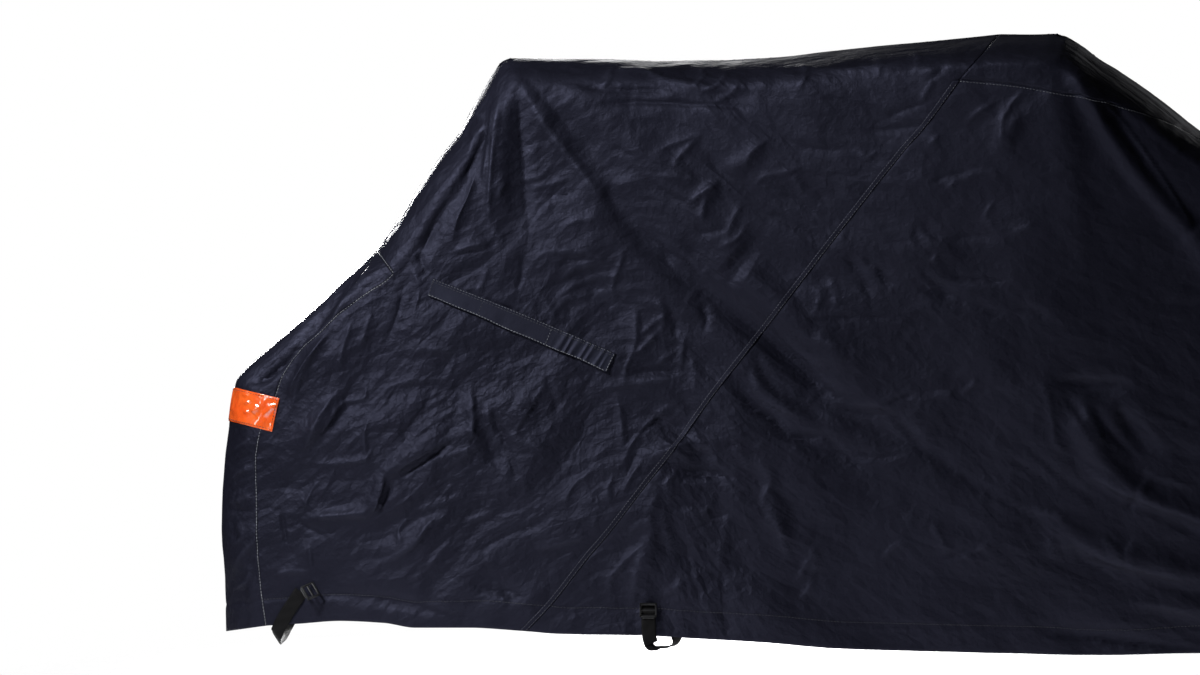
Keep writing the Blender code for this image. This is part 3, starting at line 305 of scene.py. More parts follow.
# Crisp creases of the right-hand side that show as single lines: height, width, then the places
# (u, w) that each runs through.  A negative height is a trough.
CREASES = (
    # tail top
    (-16, 12, -211, -296, -231, -318, -252, -340, -271, -362, -290, -384, -303, -403, -312, -421),
    (-12, 10, -303, -400, -318, -425, -340, -446, -363, -465, -384, -476),
    (7, 10, -196, -291, -222, -328, -242, -353, -262, -388),
    (6, 10, -262, -392, -285, -425, -300, -445, -331, -500),
    # below flap left
    (2.6, 7, -247, -478, -281, -528, -307, -585),
    (2, 5, -209, -465, -212, -496, -240, -501, -281, -553),
    (2.4, 5, -199, -566, -211, -586, -293, -594),
    (2.6, 6, -78, -509, -114, -534, -145, -557),
    (3.4, 7, -61, -544, -117, -567, -176, -605),
    (3, 7, -23, -559, -98, -583, -164, -620),
    (2.2, 6, -54, -572, -100, -601),
    (3.6, 6, -184, -610, -201, -665),
    (2.6, 5, -201, -665, -249, -667, -299, -671),
    (-3.4, 6, -170, -619, -189, -657),
    (2.2, 5, -205, -519, -212, -551, -209, -586),
    (2.4, 7, 54, -472, 25, -516, -1, -557),
    (-2.8, 7, -29, -507, -9, -554, 6, -601, 12, -633),
    (2.2, 5, -34, -510, -23, -559),
    (2.4, 6, -57, -474, -54, -535, -63, -575),
    (2, 5, -85, -643, -117, -655, -136, -662),
    (2.8, 6, -76, -662, -114, -677, -146, -714, -201, -744),
    (2.2, 5, -146, -668, -163, -692, -160, -711),
    (2, 5, -20, -660, -67, -679),
    (3, 7, 123, -695, 81, -705, 31, -718),
    (1.8, 5, 123, -670, 124, -695),
    (-2.8, 6, -67, -759, -41, -774, -7, -780, 34, -793),
    (-2.2, 6, -212, -788, -161, -796, -102, -810, -57, -819),
    (-2.2, 5, -335, -661, -326, -715),
    (-1.8, 5, -316, -673, -293, -687, -266, -699),
    (1.8, 5, -346, -755, -319, -749, -291, -753),
    (1.8, 5, -319, -731, -294, -715, -290, -752),
    (1.8, 5, -196, -494, -174, -478, -130, -469, -97, -469, -76, -424),
    (2, 6, -149, -443, -130, -424, -73, -427),
    (1.6, 5, -281, -645, -264, -616, -252, -589),
    (1.8, 5, -303, -662, -290, -630, -275, -613),
    (-2, 5, 53, -458, 61, -491, 73, -525),
    (1.8, 5, -10, -539, 15, -557, 56, -572),
    (1.6, 5, -85, -703, -102, -721, -132, -755, -164, -769),
    (-1.8, 6, 73, -674, 15, -689, -38, -715, -70, -733),
    # tail side
    (-3.6, 8, -211, -291, -252, -340, -302, -400, -328, -428),
    (2.4, 6, -179, -296, -224, -340, -264, -384, -307, -428),
    (2.2, 7, -202, -368, -211, -399, -220, -425),
    (1.8, 5, -231, -378, -242, -419, -252, -458),
    (-2, 6, -155, -327, -164, -370, -182, -417),
    (2, 6, -261, -396, -293, -440, -313, -487, -325, -528),
    (1.8, 5, -381, -557, -401, -569, -413, -583),
    (-1.8, 5, -378, -575, -398, -586, -416, -601),
    (1.8, 5, -375, -595, -395, -604, -416, -624),
    (-1.8, 5, -373, -617, -395, -626, -417, -640),
    (2, 5, -372, -640, -398, -645, -419, -649),
    (-2, 5, -416, -657, -395, -661, -372, -662),
    (2, 5, -401, -674, -392, -698, -410, -715),
    (1.8, 5, -381, -680, -372, -698, -395, -727, -407, -750),
    (-1.8, 6, -386, -715, -375, -750, -363, -791),
    (1.6, 5, -413, -777, -391, -768, -372, -733),
    # saddle left
    (3.2, 6, -10, -36, -19, -89, -25, -147, -31, -213, -29, -253),
    (2.6, 6, -22, -59, -32, -132, -40, -191),
    (-4, 7, -28, -86, -44, -130, -59, -159, -72, -182),
    (2.6, 5, -35, -94, -53, -118, -59, -135),
    (-4.2, 6, -42, -90, -59, -97, -64, -112, -53, -118),
    (2.4, 5, -64, -71, -51, -77, -35, -86),
    (-3.2, 9, -75, -191, -94, -214, -113, -247, -132, -288),
    (3, 8, -48, -159, -61, -200, -78, -238, -85, -269),
    (-2.6, 7, 13, -42, 15, -96, 19, -147, 22, -206, 32, -261),
    (2.6, 5, -86, -280, -59, -274, -29, -269),
    (-1.8, 4, -89, -288, -57, -282, -28, -276),
    (-2, 6, 20, -282, 18, -314, 9, -346),
    (2.2, 6, -19, -206, -10, -185, -3, -176),
    (1.8, 5, -18, -238, -23, -253, -12, -264, -23, -279),
    (1.8, 5, -32, -302, -41, -329, -51, -349),
    (2, 6, -132, -200, -108, -176, -92, -156),
    (1.8, 6, -146, -296, -132, -337, -143, -378),
    (-2, 6, -136, -279, -126, -305, -117, -326),
    (1.8, 6, -190, -261, -167, -253, -157, -226),
    (2, 5, -113, -135, -91, -118, -76, -100),
    # saddle front
    (2, 7, 9, -24, 38, -74, 67, -118, 111, -173, 149, -226),
    (-1.4, 6, 20, -24, 53, -62, 88, -103),
    (1.8, 5, 25, -191, 56, -182, 91, -173),
    (-1.8, 5, 29, -203, 67, -200, 105, -191),
    (1.8, 5, 38, -269, 67, -274, 111, -285, 146, -296),
    (1.8, 5, 32, -296, 56, -282, 95, -282),
    (2, 5, 73, -323, 102, -302, 149, -296),
    (-1.8, 5, 56, -308, 91, -294, 135, -288),
    (2, 5, 67, -352, 91, -332, 132, -318, 173, -314),
    (1.8, 5, 61, -378, 82, -352, 120, -343, 164, -343),
    (2, 6, 44, -346, 61, -370, 67, -393),
    (2.2, 5, 167, -279, 160, -302, 149, -337, 155, -367),
    (2.4, 6, 182, -361, 184, -399, 179, -434),
    (2, 5, 212, -346, 225, -376, 223, -402),
    (1.8, 5, 190, -405, 212, -384, 231, -373),
    (-2.2, 5, 225, -358, 240, -384, 243, -411),
    (-3, 6, 195, -255, 220, -273, 236, -305),
    (-2.4, 5, 225, -270, 264, -305, 281, -340),
    (-2.8, 5, 278, -352, 287, -378, 284, -405),
    (1.8, 5, 73, -247, 102, -235, 132, -232),
    (1.6, 5, -3, -185, 15, -176, 41, -173, 61, -153),
    # ridge
    (3, 5, 138, -15, 190, -15, 220, -27, 296, -42),
    (-2.8, 6, 73, -30, 132, -42, 190, -45, 264, -36),
    (2.2, 4, 278, -4, 281, -24, 269, -36),
    (2, 4, 146, -7, 143, -30, 132, -45),
    (1.8, 4, 319, -15, 302, -36, 278, -48),
    (-3, 7, 117, -71, 184, -62, 278, -65, 360, -71),
    (2.4, 5, 410, -10, 468, -18, 542, -12, 591, -4),
    (2, 4, 425, -1, 433, -21, 422, -45),
    (1.8, 4, 589, 14, 597, -1, 591, -21),
    (1.6, 4, 530, 8, 542, -10, 536, -30),
    (1.8, 5, 337, -30, 322, -51, 296, -62),
    (-1.8, 5, 132, -21, 67, -15, 29, -12),
    (1.6, 4, 73, -4, 91, -15, 117, -18),
    (1.6, 5, 624, -24, 609, -48, 597, -71),
    (-1.6, 5, 638, -4, 627, -21, 612, -30),
    # centre star
    (2.2, 6, 378, -118, 354, -135, 340, -162),
    (2.4, 5, 307, -179, 278, -197, 261, -212),
    (2, 5, 287, -200, 281, -229, 278, -241),
    (-2.2, 6, 287, -138, 305, -162, 331, -179),
    (2, 5, 278, -112, 255, -135, 243, -150, 258, -165),
    (1.8, 5, 281, -109, 243, -121, 211, -135),
    (-2, 5, 149, -127, 170, -138, 184, -144),
    (1.8, 5, 211, -171, 243, -171, 278, -179),
    (-2.4, 6, 184, -165, 220, -191, 269, -217),
    (-1.8, 5, 272, -238, 281, -253, 322, -247),
    (1.8, 5, 337, -212, 325, -238, 319, -258),
    (1.8, 5, 360, -185, 369, -173, 404, -165, 433, -156),
    (1.6, 5, 413, -165, 422, -182, 430, -200),
    (-2, 6, 389, -188, 433, -214, 471, -238),
    (-2, 6, 369, -209, 419, -244, 480, -270),
    (1.8, 5, 346, -241, 334, -261, 302, -276),
    (-1.8, 6, 410, -118, 442, -130, 498, -132),
    (1.4, 5, 507, -132, 521, -144, 539, -132),
    (-1.6, 7, 542, -89, 586, -71, 621, -59),
    (-1.6, 7, 512, -106, 577, -100, 621, -92),
    # seam middle
    (2, 5, 442, -332, 454, -349, 448, -370),
    (2, 5, 466, -317, 477, -346, 480, -370),
    (1.6, 5, 425, -370, 454, -373, 495, -370),
    (-2.2, 5, 492, -282, 518, -326, 533, -355),
    (-2.2, 5, 539, -305, 550, -326, 559, -337),
    (-2, 5, 515, -285, 539, -308, 565, -332),
    (-1.4, 6, 451, -378, 515, -376, 571, -378),
    (1.6, 5, 442, -405, 471, -417, 486, -419),
    (2.2, 6, 255, -403, 249, -452),
    (2, 5, 264, -425, 274, -490),
    (2.2, 5, 183, -430, 199, -417, 218, -397),
    (2.2, 5, 179, -428, 168, -460, 167, -475),
    (1.8, 5, 212, -446, 242, -428),
    (-3, 7, 173, -460, 212, -456, 252, -458),
    (2.2, 6, 170, -474, 208, -469, 252, -465),
    (2.8, 6, 157, -493, 163, -534, 168, -578),
    (2.2, 5, 247, -501, 214, -522, 184, -553, 161, -601),
    (-1.8, 5, 237, -519, 190, -545, 170, -563),
    (2.2, 5, 122, -597, 85, -638, 82, -657),
    (2.2, 5, 190, -592, 176, -613, 167, -633),
    (1.8, 5, 152, -607, 143, -633, 146, -654),
    (-1.8, 5, 190, -566, 179, -592, 170, -616),
    # seam low
    (3.4, 9, 202, -580, 231, -572, 261, -557, 290, -566),
    (2.4, 6, 264, -557, 296, -572, 300, -604),
    (3.2, 7, 243, -601, 231, -624, 240, -654),
    (-3, 7, 250, -607, 287, -605, 338, -613),
    (2.2, 6, 246, -621, 278, -619, 305, -624),
    (2, 5, 296, -616, 296, -645, 284, -662, 231, -662),
    (2.8, 6, 221, -654, 231, -698, 242, -733),
    (3, 7, 205, -703, 167, -736, 143, -771, 146, -788),
    (3.4, 8, 195, -709, 184, -756, 179, -800),
    (2.2, 6, 199, -668, 211, -645, 220, -630),
    (2.4, 6, 173, -692, 199, -677, 214, -683),
    (2, 5, 138, -733, 161, -744, 184, -753),
    (1.8, 5, 264, -756, 240, -774, 217, -783),
    (2, 5, 316, -660, 313, -703, 302, -747),
    (-2, 6, 264, -689, 296, -674, 331, -657),
    (3, 6, 366, -594, 382, -620, 372, -642, 394, -686, 411, -743),
    (2.2, 5, 442, -712, 447, -756),
    (2, 5, 442, -727, 420, -763),
    (2, 5, 442, -762, 433, -783, 423, -788),
    (2, 5, 328, -557, 340, -589, 354, -601),
    (1.8, 5, 340, -563, 360, -566, 375, -557),
    (-1.8, 5, 310, -566, 343, -563, 369, -580),
    (1.6, 5, 542, -733, 565, -712, 586, -703),
    # front bundle
    (-3, 6, 322, -463, 354, -510, 382, -525, 410, -553, 454, -553, 486, -591),
    (2.4, 5, 351, -449, 367, -491, 410, -519),
    (-3.2, 6, 348, -425, 394, -491, 429, -510, 460, -522),
    (-4, 9, 372, -403, 426, -446, 468, -488, 502, -498),
    (2.2, 6, 360, -419, 389, -463, 439, -498),
    (-3.2, 7, 455, -507, 517, -515, 556, -520, 583, -545, 609, -575, 651, -601, 703, -630),
    (-2.2, 5, 495, -573, 542, -582, 580, -576),
    (-2.4, 5, 463, -566, 492, -583, 520, -597),
    (2, 6, 589, -557, 630, -589, 681, -613),
    (1.8, 5, 539, -498, 565, -493, 589, -481),
    (1.8, 4, 659, -487, 673, -481, 684, -469),
    (1.6, 5, 615, -493, 641, -490, 656, -481),
    (-1.8, 5, 553, -501, 577, -493, 597, -490),
    (1.6, 5, 723, -645, 747, -657, 770, -674),
    (-2.2, 6, 671, -621, 717, -642, 770, -674, 796, -686),
    (2.2, 6, 758, -654, 791, -665, 817, -674),
    (-2, 6, 717, -583, 761, -601, 808, -639),
    (1.6, 5, 615, -674, 630, -703, 644, -727),
    (1.6, 5, 656, -733, 688, -715, 712, -703),
    (-1.8, 6, 630, -727, 668, -721, 703, -727),
    # front upper
    (2, 5, 723, -65, 720, -94, 717, -130),
    (1.8, 5, 752, -45, 732, -68, 723, -89),
    (1.6, 5, 571, -147, 580, -135, 591, -118),
    (1.6, 5, 615, -124, 627, -112),
    (1.6, 5, 668, -94, 685, -77, 712, -62),
    (-1.8, 6, 615, -182, 638, -171, 676, -165),
    (1.6, 5, 641, -188, 653, -179),
    (1.4, 5, 659, -171, 703, -165, 723, -179),
    (-2, 5, 589, -244, 597, -264, 612, -279),
    (-1.8, 5, 603, -232, 621, -258, 632, -273),
    (1.8, 5, 612, -288, 624, -296, 621, -282),
    (-2.4, 6, 600, -308, 621, -326, 644, -335),
    (-2.4, 6, 635, -311, 668, -323, 717, -323, 741, -332),
    (-2, 6, 589, -329, 615, -340, 656, -346),
    (-2.2, 7, 676, -352, 703, -370, 723, -381),
    (-1.8, 6, 732, -361, 770, -370, 793, -384),
    (1.8, 6, 735, -253, 755, -247, 767, -241),
    (1.6, 5, 709, -206, 697, -229, 712, -250),
    (-1.6, 6, 641, -264, 688, -258, 717, -264),
    # bar end
    (2.6, 4, 812, 8, 836, -17, 872, -62, 912, -112, 952, -170, 985, -222, 1010, -268),
    (1.8, 4, 629, -8, 662, -14, 700, -18),
    # front low
    (3, 8, 837, -504, 852, -537, 875, -566),
    (-3, 7, 849, -498, 870, -534, 899, -566, 931, -595),
    (-3, 7, 808, -484, 834, -519, 864, -557),
    (2.2, 5, 793, -516, 799, -557, 820, -586),
    (-2.4, 6, 802, -469, 849, -475, 893, -475, 922, -490),
    (2, 6, 776, -469, 788, -498, 793, -528),
    (3, 9, 823, -580, 864, -613, 922, -642, 1004, -674),
    (2, 5, 788, -698, 793, -715, 802, -727),
    (2.6, 8, 832, -703, 878, -733, 937, -750, 1007, -762),
    (-2.2, 6, 814, -703, 843, -736, 881, -750),
    (2, 5, 861, -698, 881, -712, 896, -733),
    (-2, 6, 741, -551, 782, -589, 834, -633, 878, -662),
    (1.8, 6, 908, -794, 952, -800, 1007, -815),
    (-3, 6, 761, -841, 834, -844, 908, -853, 1004, -862),
    (-2, 6, 887, -504, 908, -534, 937, -557),
    (-1.8, 6, 937, -510, 966, -522, 1004, -539),
    (2, 6, 922, -601, 957, -613, 998, -627),
)

# How strongly each part of the side is crumpled
CRUMPLED = (
    # u, w, reach, strength
    (-330, -380, 130, 0.75), (-380, -660, 90, 0.75), (-150, -560, 160, 1.20),
    (-200, -750, 110, 0.50), (50, -750, 110, 0.55),
    (-60, -200, 120, 0.70), (110, -80, 140, 0.50), (140, -300, 150, 0.70),
    (240, -520, 150, 1.15), (190, -690, 130, 1.0), (450, -150, 180, 0.60),
    (420, -390, 150, 0.75), (650, -250, 180, 0.45), (570, -500, 150, 0.70),
    (740, -700, 220, 0.60), (900, -300, 220, 0.40), (980, -600, 200, 0.60),
    (1500, -500, 400, 0.60), (2000, -600, 260, 0.60),
)

# Where sewn-on pieces hold the cloth flat: reach, then the places (u, w) along the middle
HELD_FLAT = (
    (19, -116, -334, 17, -387, 148, -443),
    (34, -405, -500, -372, -512, -345, -520),
    (15, 203, -790, 203, -846),
    (17, -293, -772, -300, -790, -318, -828),
)

CREASE_HEIGHT = 1.6     # by what the creases' heights and widths are multiplied
CREASE_WIDTH = 0.72
CREASE_REACH = 5        # a crease is left out further away than this many widths
CREASE_TAPER = 0.3      # share of a crease's length over which it runs out
CREASE_END = 0.15       # share of its height that is left at its ends
CREST_RADIUS = 0.6      # of the rounding along its crest

SIDE_BUCKLE_PLACE = (202.5, -806)
SIDE_BUCKLE_OFF = 3.2   # how far its middle lies outside the highest cloth under it
REAR_BUCKLE_WIDTH_DIRECTION = (0.50, -0.46, -0.73)
REAR_BUCKLE_FACE = (0.2, -0.86, 0.40)


# ---------------------------------------------------------------- sides and slots


class Side(Enum):
    """A side of the cover, by the sign of Y there."""

    RIGHT = -1
    LEFT = 1


class Slot(Enum):
    """The record's material slots."""

    CLOTH = "cloth"
    FLAP = "flap_cloth"
    REFLECTOR = "reflector"
    WEBBING = "webbing"
    BUCKLE = "buckle"


# ---------------------------------------------------------------- curves


def smooth(at: Array, x: Array, y: Array) -> Array:
    """Read a smooth curve that doesn't overshoot its points.

    Args:
        at: Where to read it.
        x: Places of the curve's points, rising.
        y: Heights of the points.

    Returns:
        The curve's height at each place in `at`.
    """
    rise = np.diff(y) / np.diff(x)
    total = rise[:-1] + rise[1:]
    signs = rise[:-1] * rise[1:]
    inner = np.where(signs > 0, 2 * signs / np.where(total == 0, 1, total), 0.0)
    m = np.concatenate([rise[:1], inner, rise[-1:]])
    at = np.clip(at, x[0], x[-1])
    i = np.clip(np.searchsorted(x, at, side="right") - 1, 0, len(x) - 2)
    h = x[i + 1] - x[i]
    t = (at - x[i]) / h
    return (
        y[i] * (1 + 2 * t) * (1 - t) ** 2
        + m[i] * h * t * (1 - t) ** 2
        + y[i + 1] * t * t * (3 - 2 * t)
        + m[i + 1] * h * t * t * (t - 1)
    )


def lengths_along(points: Array) -> Array:
    """Length of a line of straight steps up to each of its points."""
    return np.concatenate([[0], np.cumsum(np.linalg.norm(np.diff(points, axis=0), axis=1))])


def along(points: list | Array, share: Array) -> Array:
    """Places on the smooth curve through some points.

    Args:
        points: The points, one row each.
        share: Shares of the curve's length, 0 to 1.

    Returns:
        One place for each share.
    """
    points = np.asarray(points, float)
    length = lengths_along(points)
    at = np.asarray(share, float) * length[-1]
    return np.stack([smooth(at, length, points[:, k]) for k in range(points.shape[1])], axis=-1)


def ease(t: Array) -> Array:
    """A soft step."""
    t = np.clip(t, 0.0, 1.0)
    return t * t * (3 - 2 * t)


def unit(vectors: Array) -> Array:
    """Scale vectors to length 1."""
    return vectors / np.linalg.norm(vectors, axis=-1, keepdims=True)


def square_to(vectors: Array, run: Array) -> Array:
    """What is left of vectors square to the unit vectors `run`."""
    return vectors - run * np.sum(vectors * run, axis=-1, keepdims=True)


def nearest_on(line: Array, u: Array, w: Array, reach: float) -> tuple[Array, Array]:
    """Find the nearest point of a line to each place.

    Args:
        line: The line's points, as rows (u, w).
        u: Places forward.
        w: Places upward.
        reach: Places further than this from the line count as this far.

    Returns:
        The distance of each place from the line, and how far along the line its nearest point is.
    """
    shape = np.shape(u)
    u, w = np.ravel(u), np.ravel(w)
    distance, run = np.full(len(u), float(reach)), np.zeros(len(u))
    before = 0.0
    for (u0, w0), (u1, w1) in zip(line[:-1], line[1:]):
        du, dw = u1 - u0, w1 - w0
        length = math.hypot(du, dw)
        close = np.flatnonzero(
            (np.abs(u - (u0 + u1) / 2) < abs(du) / 2 + reach)
            & (np.abs(w - (w0 + w1) / 2) < abs(dw) / 2 + reach)
        )
        share = np.clip(((u[close] - u0) * du + (w[close] - w0) * dw) / length**2, 0, 1)
        gap = np.hypot(u[close] - u0 - share * du, w[close] - w0 - share * dw)
        nearer = gap < distance[close]
        distance[close[nearer]] = gap[nearer]
        run[close[nearer]] = before + share[nearer] * length
        before += length
    return distance.reshape(shape), run.reshape(shape)


# ---------------------------------------------------------------- the draped surface


def drawn_line(*stretches: list) -> Array:
    """A seam or an edge as a fine line of straight steps.

    Args:
        *stretches: Lists of points, each starting where the last one ends.

    Returns:
        The line's points.
    """
    share = np.linspace(0, 1, OUTLINE_STEPS + 1)
    parts = [along(points, share) for points in stretches]
    return np.concatenate([parts[0], *(part[1:] for part in parts[1:])])


OUTLINE = drawn_line(
    TAIL_DROP_EDGE[::-1], TAIL_SLOPE_EDGE[::-1], REAR_EDGE, FRONT_EDGE, NOSE_EDGE
)
HEM_LINE = drawn_line([TAIL_DROP_EDGE[-1], REAR_HEM[0]], REAR_HEM, FRONT_HEM,
                      [FRONT_HEM[-1], NOSE_EDGE[-1]])


def joined(folds: list[tuple]) -> list[tuple]:
    """Let folds run on from one to the next, and other ends run out gently.

    Where one fold's end is close to another's start, both are drawn out until they overlap, and one
    rises over the overlap as the other falls.

    Args:
        folds: Rows of the FOLDS table.

    Returns:
        The rows, then over which shares of its length each rises and falls.
    """
    starts = np.array([row[:2] for row in folds], float)
    ends = np.array([row[2:4] for row in folds], float)
    apart = np.linalg.norm(ends[:, None] - starts[None], axis=-1)
    made = []
    for k, row in enumerate(folds):
        start, end = starts[k].copy(), ends[k].copy()
        length = float(np.linalg.norm(end - start))
        along_it = (end - start) / length
        shares = []
        for place, nearest, way in ((start, apart[:, k].min(), -1), (end, apart[k].min(), 1)):
            if nearest < FOLD_JOIN_REACH:
                overlap = max(nearest, FOLD_OVERLAP)
                place += way * along_it * (overlap - nearest) / 2
                shares.append(overlap / length)
            else:
                shares.append(FOLD_FREE_SHARE if place[1] < FOLD_CREST_W else FOLD_CREST_SHARE)
        made.append((*start, *end, *row[4:], *shares))
    return made


def fold_height(u: Array, w: Array, folds: list[tuple]) -> Array:
    """Add up the main folds.

    Args:
        u: Places forward.
        w: Places upward.
        folds: Rows of the FOLDS table.

    Returns:
        How far they stand out.
    """
    total = np.zeros(np.shape(u))
    for u0, w0, u1, w1, bow, width, h0, h1, rise, fall in joined(folds):
        length = math.hypot(u1 - u0, w1 - w0)
        du, dw = (u1 - u0) / length, (w1 - w0) / length
        share = ((u - u0) * du + (w - w0) * dw) / length
        inside = np.clip(share, 0, 1)
        aside = (w - w0) * du - (u - u0) * dw - bow * 4 * inside * (1 - inside)
        beyond = (share - inside) * length
        height = (h0 + (h1 - h0) * inside) * ease(inside / rise) * ease((1 - inside) / fall)
        total += height * np.exp(-(aside**2 + beyond**2) / width**2)
    return total


def half_width(u: Array, w: Array, folds: list[tuple]) -> Array:
    """How far the smooth folds stand from the centre plane.

    Args:
        u: Places forward.
        w: Places upward.
        folds: Rows of the FOLDS table.

    Returns:
        The distance of the cloth's outer face from the centre plane.
    """
    rows = np.array(SECTIONS, float)
    top, bulge, hem = (smooth(u, rows[:, 0], rows[:, k]) for k in (1, 2, 3))
    down = np.clip(w / SECTION_HEM_W, -0.1, 1.05)
    full = top + (hem - top) * down + bulge * 4 * down * (1 - down)
    depth = nearest_on(OUTLINE, u, w, FOLD_FADE)[0]
    turned = np.clip(depth / RIDGE_DEPTH, 0, 1)
    rounding = np.sqrt(1 - (1 - turned) ** 2)
    return full * rounding + fold_height(u, w, folds) * ease(depth / FOLD_FADE)


def true_place(u: Array, w: Array, out: Array) -> Array:
    """Take the drawing's perspective out of places on the right-hand side.

    Args:
        u: Places forward in the side drawing.
        w: Places upward in the side drawing.
        out: Distances from the centre plane.

    Returns:
        Places in the cover's frame.
    """
    near = 1 - out / VIEW_DISTANCE
    x = VIEW_U + (u - VIEW_U) * near
    z = VIEW_W + (w - VIEW_W) * near
    return np.stack([x, -out, z], axis=-1)


def folded(drawn: Array, side: Side) -> Array:
    """Places of the smooth folds of one side.

    Args:
        drawn: Places (u, w) in the side drawing.
        side: Which side; the left one mirrors the drawing.

    Returns:
        Places in the cover's frame.
    """
    u, w = drawn[..., 0], drawn[..., 1]
    folds = FOLDS if side is Side.RIGHT else FAR_FOLDS
    return true_place(u, w, half_width(u, w, folds)) * (1, -side.value, 1)


# ---------------------------------------------------------------- crumples, creases and seams


def hashed(cells: Array, salt: int) -> Array:
    """Even numbers that depend on a cell alone, so they are the same on every run.

    Args:
        cells: Whole numbers, three for each cell.
        salt: A number that tells one use from another.

    Returns:
        Three numbers from 0 to 1 for each cell.
    """
    x, y, z = (cells[:, k].astype(np.int64).astype(np.uint32) for k in range(3))
    mixed = x * np.uint32(73856093) ^ y * np.uint32(19349663) ^ z * np.uint32(83492791)
    mixed = mixed ^ np.uint32(salt * 2654435 % 2**32)
    numbers = []
    for shift, factor in ((15, 2246822519), (13, 3266489917), (16, 668265263)):
        mixed = (mixed ^ (mixed >> np.uint32(shift))) * np.uint32(factor)
        numbers.append((mixed ^ (mixed >> np.uint32(14))).astype(np.float64) / 2**32)
    return np.stack(numbers, axis=-1)


def soft_noise(points: Array, salt: int) -> Array:
    """Smooth uneven hills, one for about each unit of length.

    Args:
        points: Places, three numbers each, in units of a hill's size.
        salt: A number that tells one use from another.

    Returns:
        Heights from -1 to 1.
    """
    cell = np.floor(points).astype(np.int64)
    part = ease(points - cell)
    total = np.zeros(len(points))
    for corner in product((0, 1), repeat=3):
        weight = np.prod(np.where(np.array(corner) == 1, part, 1 - part), axis=1)
        total += weight * hashed(cell + corner, salt)[:, 0]
    return 2 * total - 1


def facets(points: Array, salt: int) -> Array:
    """A crumpled surface of flat facets that meet in sharp ridges and troughs.

    It is the difference of two sets of bowls: where bowls of one set meet there is a ridge, where
    those of the other meet there is a trough, and between them the curves cancel.

    Args:
        points: Places, three numbers each, in units of a facet's size.
        salt: A number that tells one use from another.

    Returns:
        Heights, mostly from -0.5 to 0.5.
    """
    cell = np.floor(points).astype(np.int64)
    lowest = [np.full(len(points), np.inf) for _ in range(2)]
    for corner in product((-1, 0, 1), repeat=3):
        near = cell + corner
        for bowls, low in enumerate(lowest):
            middle = near + hashed(near, salt + bowls)
            np.minimum(low, np.sum((points - middle) ** 2, axis=1), out=low)
    return lowest[0] - lowest[1]


@dataclass(frozen=True)
class Crumple:
    """One size of crumple."""

    cell: float     # size of a facet
    height: float   # how far the facets rise and fall
    salt: int


def crease_height(u: Array, w: Array, crease: tuple) -> Array:
    """Height of one crisp crease.

    Args:
        u: Places forward.
        w: Places upward.
        crease: Height, width, then the places (u, w) that it runs through.

    Returns:
        How far it stands out at each place.
    """
    height, width, *flat = crease
    height, width = CREASE_HEIGHT * height, CREASE_WIDTH * width
    points = np.reshape(np.array(flat, float), (-1, 2))
    total = np.zeros(len(u))
    reach = CREASE_REACH * width
    low, high = points.min(axis=0) - reach, points.max(axis=0) + reach
    close = np.flatnonzero((u > low[0]) & (u < high[0]) & (w > low[1]) & (w < high[1]))
    if len(close) == 0:
        return total
    line = along(points, np.linspace(0, 1, 4 * len(points)))
    distance, run = nearest_on(line, u[close], w[close], reach)
    share = run / np.linalg.norm(np.diff(line, axis=0), axis=1).sum()
    whole = 1 - CREASE_END
    taper = CREASE_END + whole * ease(share / CREASE_TAPER) * ease((1 - share) / CREASE_TAPER)
    crest = np.sqrt(distance**2 + CREST_RADIUS**2) - CREST_RADIUS
    total[close] = height * taper * np.exp(-crest / width)
    return total


@dataclass(frozen=True)
class Scatter:
    """Random creases on a stretch of cloth; pairs are ranges, or a mean and a spread."""

    count: int
    lowest: Pair        # least and greatest (u, w)
    highest: Pair
    seed: int
    heading: Pair = (-1.15, 0.7)        # in radians
    length: Pair = (50, 170)
    bend: float = 0.18
    height: Pair = (1.8, 4.2)
    signs: tuple[int, ...] = (1, 1, -1)     # one in three is a trough
    width: Pair = (6, 11)

    def creases(self) -> list[tuple]:
        """Draw the creases.

        Returns:
            Rows as in the CREASES table.
        """
        pick = np.random.default_rng(self.seed)
        made = []
        for _ in range(self.count):
            start = pick.uniform(self.lowest, self.highest)
            heading = pick.normal(*self.heading)
            length = pick.uniform(*self.length)
            turned = heading + pick.normal(0, self.bend)
            middle = start + length / 2 * np.array([math.cos(heading), math.sin(heading)])
            end = middle + length / 2 * np.array([math.cos(turned), math.sin(turned)])
            height = pick.uniform(*self.height) * pick.choice(self.signs)
            made.append((height, pick.uniform(*self.width), *start, *middle, *end))
        return made


@dataclass(frozen=True)
class Seam:
    """How a seam pulls the cloth."""

    line: Array
    salt: int
    sink: float = 0.7        # how deep the cloth dips at the seam
    sink_reach: float = 4.5
    pucker: float = 0.75     # height of the puckers
    pucker_reach: float = 13.0
    pucker_length: float = 12.0
    pucker_depth: float = 60.0

    def heights(self, u: Array, w: Array) -> tuple[Array, Array]:
        """Heights of the dip and the puckers.

        Args:
            u: Places forward.
            w: Places upward.

        Returns:
            Height at each place, and its distance from the seam.
        """
        distance, run = nearest_on(self.line, u, w, 5 * self.pucker_reach)
        along_it, away = run / self.pucker_length, distance / self.pucker_depth
        steps = np.stack([along_it, away, np.zeros(len(run))], axis=-1)
        puckers = self.pucker * soft_noise(steps, self.salt) * np.exp(-distance / self.pucker_reach)
        return puckers - self.sink * np.exp(-((distance / self.sink_reach) ** 2)), distance


